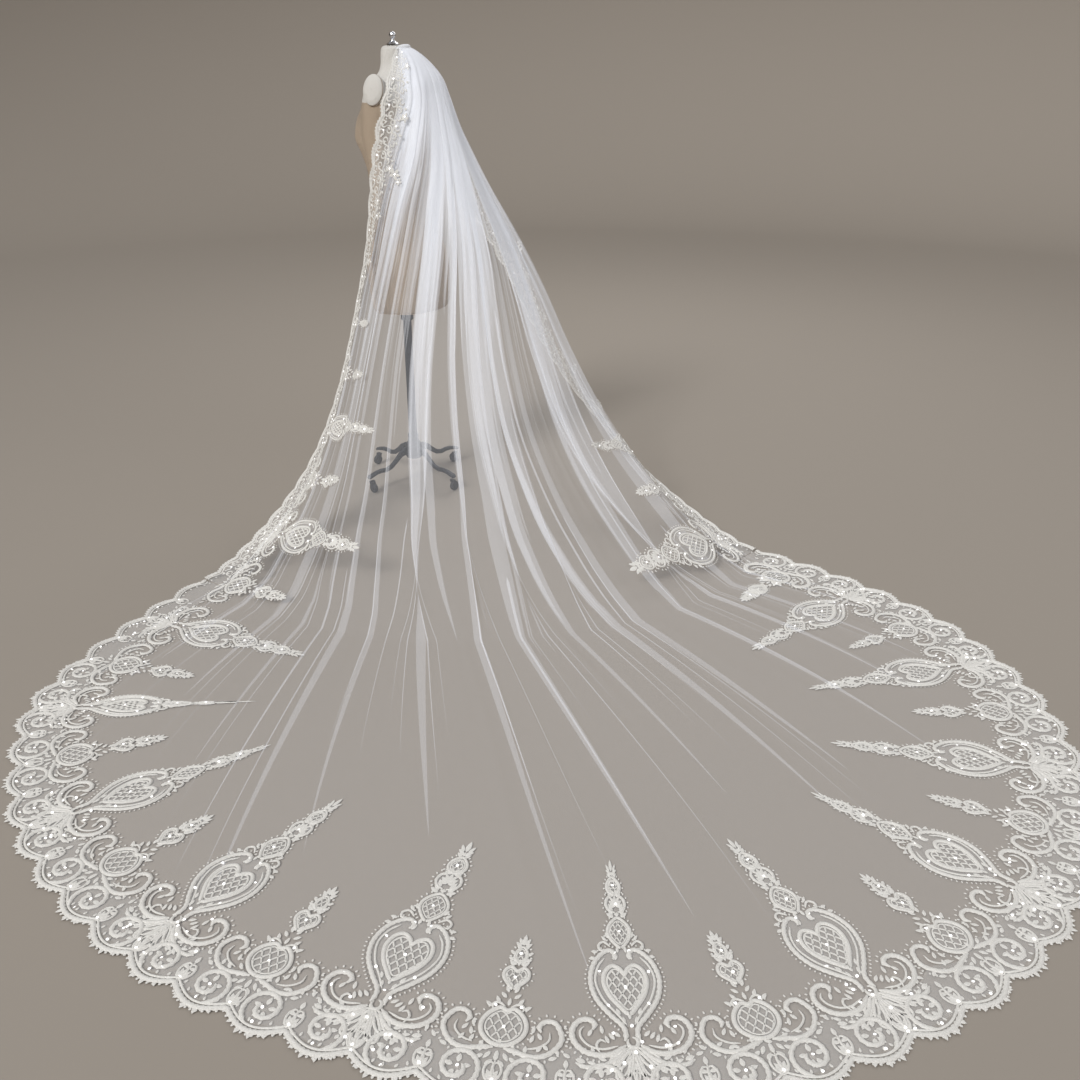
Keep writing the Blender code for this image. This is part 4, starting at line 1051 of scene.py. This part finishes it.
def ground_mesh(work, start, end):
    """The lace's own net: a band along the edge and a patch under each motif."""
    verts, faces, base = [], [], 0
    if end > start:
        s = np.arange(start, end, 0.012)
        inner = 0.088 + 0.010 * np.sin(2 * np.pi * s / 0.13)
        rows = [(-reach(s) + 0.005), np.zeros(len(s)), inner * 0.5, inner]
        grid = np.stack([np.stack([s, r], axis=1) for r in rows])
        p, _ = lay(grid[..., 0].ravel(), grid[..., 1].ravel(), -0.0005)
        verts.append(p)
        faces.append(grid_faces(4, len(s)))
        base += len(p)
    for outline, lift in work.fills:
        line = spline(outline, 0.012, closed=True)[:-1]
        c = line.mean(axis=0)
        rings = [c + (line - c) * f for f in (1.0, 0.66, 0.33, 0.02)]
        pts = np.concatenate(rings)
        p, _ = lay(pts[:, 0], pts[:, 1], lift)
        verts.append(p)
        faces.append(grid_faces(4, len(line), wrap=True) + base)
        base += len(p)
    return np.concatenate(verts), np.concatenate(faces)


for name, node, work, start, end in (
        ("lace_train", "lace_train", train, 0.002, SR - 0.002),
        ("lace_front_left", "lace_front_left", left, S0 + 0.004, -0.002),
        ("lace_front_right", "lace_front_right", right, SR + 0.002, S1 - 0.004)):
    cv, cf = cord_mesh(work.cords)
    lv, lf = leaf_mesh(work.leaves)
    ob = make(name + "_embroidery", cv, cf, THREAD)
    leaf = make(name + "_leaves", lv, lf, THREAD)
    net = make(name + "_net", *ground_mesh(work, start, end), GROUND)
    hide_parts(node)
    found = [ob, leaf, net]
    if work.spark:
        found.append(make(name + "_sequins", *disc_mesh(work.spark), SEQUIN, smooth=False))
    for o in found:
        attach(o, "root")

# ---------------------------------------------------------------- dress form
FACE_DIR = np.array([math.sin(math.radians(FACING)), -math.cos(math.radians(FACING)), 0.0])
SIDE_DIR = np.array([FACE_DIR[1], -FACE_DIR[0], 0.0])


def torso_at(z, a, grow=0.0):
    """Points on the dress form at heights z and turns a from the front."""
    rows = np.array(TORSO_ROWS)
    half, front, back, bust = (curve_many(rows[:, 0], rows[:, k], z) for k in (1, 2, 3, 4))
    c, s = np.cos(a), np.sin(a)
    mix = 0.5 + 0.5 * np.tanh(c * 9)
    deep = back + (front - back) * mix
    r = (np.abs(c / deep)**2.25 + np.abs(s / half)**2.25)**(-1 / 2.25)
    for centre in (math.radians(30), -math.radians(30)):
        gap = (a - centre + math.pi) % (2 * math.pi) - math.pi
        r = r + bust * np.exp(-(gap / math.radians(17))**2)
    r = r + grow
    base = np.stack([np.full_like(z, POLE[0]), np.full_like(z, POLE[1]), z], axis=1)
    return base + r[:, None] * (c[:, None] * FACE_DIR + s[:, None] * SIDE_DIR)


SEAMS = [math.radians(x) for x in (-150, -100, -58, 0, 58, 100, 150, 180)]
tz = np.concatenate([np.linspace(0.7, 0.712, 4), np.linspace(0.720, 1.40, 56),
                     np.linspace(1.41, 1.598, 40)])
ta = np.linspace(0, 2 * math.pi, 240, endpoint=False)
zz, aa = np.meshgrid(tz, ta, indexing="ij")
groove = np.zeros_like(zz)
for c in SEAMS:
    centre = c * (1 - 0.10 * np.sin((zz - 0.7) / 0.75 * math.pi)) if abs(c) not in (0, math.pi) else c
    gap = (aa - centre + math.pi) % (2 * math.pi) - math.pi
    groove -= 0.0011 * np.exp(-(gap / 0.022)**2) * (zz < 1.50)
groove -= 0.0013 * np.exp(-((zz - 1.418) / 0.0035)**2)
pts = torso_at(zz.ravel(), aa.ravel(), groove.ravel())
n_a = len(ta)
faces = [tuple(f[::-1]) for f in grid_faces(len(tz), n_a, wrap=True)]
faces.append(tuple(range(n_a)))
faces.append(tuple(reversed(range((len(tz) - 1) * n_a, len(tz) * n_a))))
row_of = np.repeat(np.arange(len(tz) - 1), n_a)
cloth_mat = list((tz[row_of] >= 1.418).astype(int)) + [0, 1]
torso = make("form_torso_cover", pts, faces, [LINEN, CREAM], face_mat=cloth_mat)
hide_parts("form_torso")
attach(torso, "root")

ARM_Z, ARM_R, ARM_TILT = 1.426, 0.044, 14.0
for name, sign in (("left", 1), ("right", -1)):
    side = SIDE_DIR * sign
    if (name == "left") == (side[1] > 0):
        side = -side
    tilt = math.radians(ARM_TILT)
    out = side * math.cos(tilt) + np.array([0, 0, math.sin(tilt)])
    upv = np.array([0, 0, math.cos(tilt)]) - side * math.sin(tilt)
    along = np.cross(upv, out)
    base = np.array([POLE[0], POLE[1], ARM_Z])
    profile = [(0.0385, 0.128), (0.0425, 0.134), (0.0437, 0.142), (0.0437, 0.1495),
               (0.0425, 0.1530), (0.0437, 0.1545), (0.0432, 0.1560), (0.0410, 0.1575),
               (0.0370, 0.1598), (0.0320, 0.1622), (0.0250, 0.1640), (0.0160, 0.1649),
               (0.0080, 0.1652), (0.0010, 0.1653)]
    m, verts = 64, []
    for r, h in profile:
        b = np.arange(m) * 2 * math.pi / m
        verts.append(base + out * h + along * (r * np.cos(b) * 0.87)[:, None]
                     + upv * (r * np.sin(b) * 1.16 - 0.002)[:, None])
    faces = [tuple(int(x) for x in f) for f in grid_faces(len(profile), m, wrap=True)]
    faces.append(tuple(reversed(range(m))))
    faces.append(tuple(range((len(profile) - 1) * m, len(profile) * m)))
    mats = [CREAM, SEAM]
    kinds = [1 if 3 * m <= k < 5 * m else 0 for k in range(len(profile) * m - m)] + [0, 0]
    plate = make("form_arm_cap_" + name, np.concatenate(verts), faces, mats, face_mat=kinds)
    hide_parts("form_arm_plate_" + name)
    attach(plate, "root")

# ---------------------------------------------------------------- gathered top
a = np.radians(np.linspace(16, 136, 220))
radial = np.stack([np.sin(a), -np.cos(a), np.zeros_like(a)], axis=1)
tuck = 0.00045 * np.sin(a * 150) + 0.0002 * np.sin(a * 67)
ring = [(0.0542, 1.5862), (0.0562, 1.5860), (0.0566, 1.5885), (0.0558, 1.5918), (0.0566, 1.5950),
        (0.0562, 1.5974), (0.0542, 1.5974), (0.0540, 1.5918)]
grid = [np.array([POLE[0], POLE[1], 0]) + radial * (r + tuck)[:, None] + [0, 0, z] for r, z in ring]
grid = np.stack(grid, axis=1)
verts = grid.reshape(-1, 3)
k = len(ring)
faces = [tuple(int(x) for x in (i * k + j, i * k + (j + 1) % k, (i + 1) * k + (j + 1) % k,
                                (i + 1) * k + j)) for i in range(len(a) - 1) for j in range(k)]
faces += [tuple(reversed(range(k))), tuple(range((len(a) - 1) * k, len(a) * k))]
band = make("gather_band", verts, faces, RIBBON)
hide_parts("gather_ribbon")
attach(band, "root")
# the gathered net, rolled over the band and turned in at the neck
rows = [(0.0625, 1.5868, 0.4), (0.0618, 1.5905, 0.7), (0.0600, 1.5950, 0.9), (0.0570, 1.5990, 1.0),
        (0.0525, 1.6012, 1.0), (0.0475, 1.6016, 0.9), (0.0425, 1.6006, 0.7), (0.0385, 1.5990, 0.4)]
grid = []
ends = np.sin(np.linspace(0, math.pi, len(a)))**0.35
for r, z, wild in rows:
    wave = 0.0007 * wild * np.sin(a * 110 + 0.8 * np.sin(a * 13))
    p = np.array([POLE[0], POLE[1], 0]) + radial * (r + wave)[:, None]
    p[:, 2] = 1.5880 + (z - 1.5880) * ends + 0.0006 * wild * np.sin(a * 84 + 1.0) * ends
    grid.append(p)
frill = make("gather_roll", np.concatenate(grid), grid_faces(len(rows), len(a)), TULLE_TOP)
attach(frill, "root")

# ---------------------------------------------------------------- carried-over nodes
FINISH = {"veil_comb": COMB, "form_neck_cap": CHROME, "form_finial": CHROME,
          "form_mount_plate": IRON, "stand_collar": IRON, "stand_pole": IRON, "stand_hub": IRON}
for k in range(1, 5):
    FINISH["stand_leg_%d" % k] = IRON
    FINISH["caster_yoke_%d" % k] = IRON
    FINISH["caster_wheel_%d" % k] = TYRE
for name, mat in FINISH.items():
    ob = frame["nodes"][name]
    for i in range(len(ob.material_slots)):
        ob.material_slots[i].material = mat

# ---------------------------------------------------------------- floor, light and camera
floor_mat = bpy.data.materials.new("studio_floor")
floor_mat.use_nodes = True
fp = floor_mat.node_tree.nodes["Principled BSDF"]
fp.inputs["Base Color"].default_value = (0.345, 0.305, 0.262, 1)
fp.inputs["Roughness"].default_value = 0.9
sweep = [(0.0, -0.0015), (1.0, -0.0015), (4.0, -0.0015), (7.5, -0.0015)]
sweep += [(7.5 + 2.5 * math.sin(x), 2.5 - 0.0015 - 2.5 * math.cos(x))
          for x in np.linspace(0.08, math.pi / 2, 16)] + [(10.0, 5.0), (10.0, 8.5)]
turns = np.linspace(0, 2 * math.pi, 96, endpoint=False)
verts = [(r * math.cos(x), r * math.sin(x), z) for r, z in sweep[1:] for x in turns]
faces = [tuple(int(x) for x in f) for f in grid_faces(len(sweep) - 1, 96, wrap=True)]
faces.append(tuple(range(96)))
floor = make("studio_floor", verts, faces, floor_mat)
floor.visible_shadow = False
floor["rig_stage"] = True

world = bpy.data.worlds.new("studio") if bpy.context.scene.world is None else bpy.context.scene.world
bpy.context.scene.world = world
world.use_nodes = True
back = world.node_tree.nodes.get("Background") or world.node_tree.nodes.new("ShaderNodeBackground")
back.inputs["Color"].default_value = (0.86, 0.88, 0.92, 1)
back.inputs["Strength"].default_value = 0.44


def area_light(name, place, aim, size, power, colour=(1, 1, 1)):
    lamp = bpy.data.lights.new(name, "AREA")
    lamp.shape, lamp.size, lamp.size_y = "RECTANGLE", size[0], size[1]
    lamp.energy, lamp.color = power, colour
    ob = bpy.data.objects.new(name, lamp)
    bpy.context.scene.collection.objects.link(ob)
    ob.location = place
    d = np.array(aim, float) - np.array(place, float)
    from mathutils import Vector
    ob.rotation_euler = Vector(d).to_track_quat("-Z", "Y").to_euler()
    return ob


area_light("key_light", (-3.4, -2.6, 4.4), (-0.1, 0.2, 0.3), (3.0, 3.0), 70, (1.0, 0.985, 0.96))
sun = bpy.data.lights.new("soft_sun", "SUN")
sun.energy, sun.angle = 1.60, math.radians(18)
sun_ob = bpy.data.objects.new("soft_sun", sun)
bpy.context.scene.collection.objects.link(sun_ob)
sun_ob.rotation_euler = (math.radians(40), math.radians(-34), 0)
area_light("fill_light", (3.8, -1.6, 3.6), (0.0, 0.2, 0.4), (3.5, 3.0), 35, (0.95, 0.97, 1.0))
area_light("back_light", (0.8, 4.4, 3.6), (-0.3, 0.8, 0.8), (3.0, 2.0), 45, (1.0, 1.0, 1.0))

cam = bpy.data.cameras.new("camera")
cam.lens, cam.sensor_width, cam.sensor_fit = 36.1, 36.0, "HORIZONTAL"
cam.clip_start, cam.clip_end = 0.05, 100
camera = bpy.data.objects.new("camera", cam)
bpy.context.scene.collection.objects.link(camera)
camera.location = (POLE[0] + 0.508, POLE[1] - 4.11, 1.63)
camera.rotation_euler = (math.radians(90 - 25), 0, 0)
bpy.context.scene.camera = camera
bpy.context.scene.view_settings.view_transform = "Standard"

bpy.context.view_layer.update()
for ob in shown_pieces():
    if ob.type == "MESH" and not ob.get("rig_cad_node"):
        print("piece", ob.name, sum(len(p.vertices) - 2 for p in ob.data.polygons))
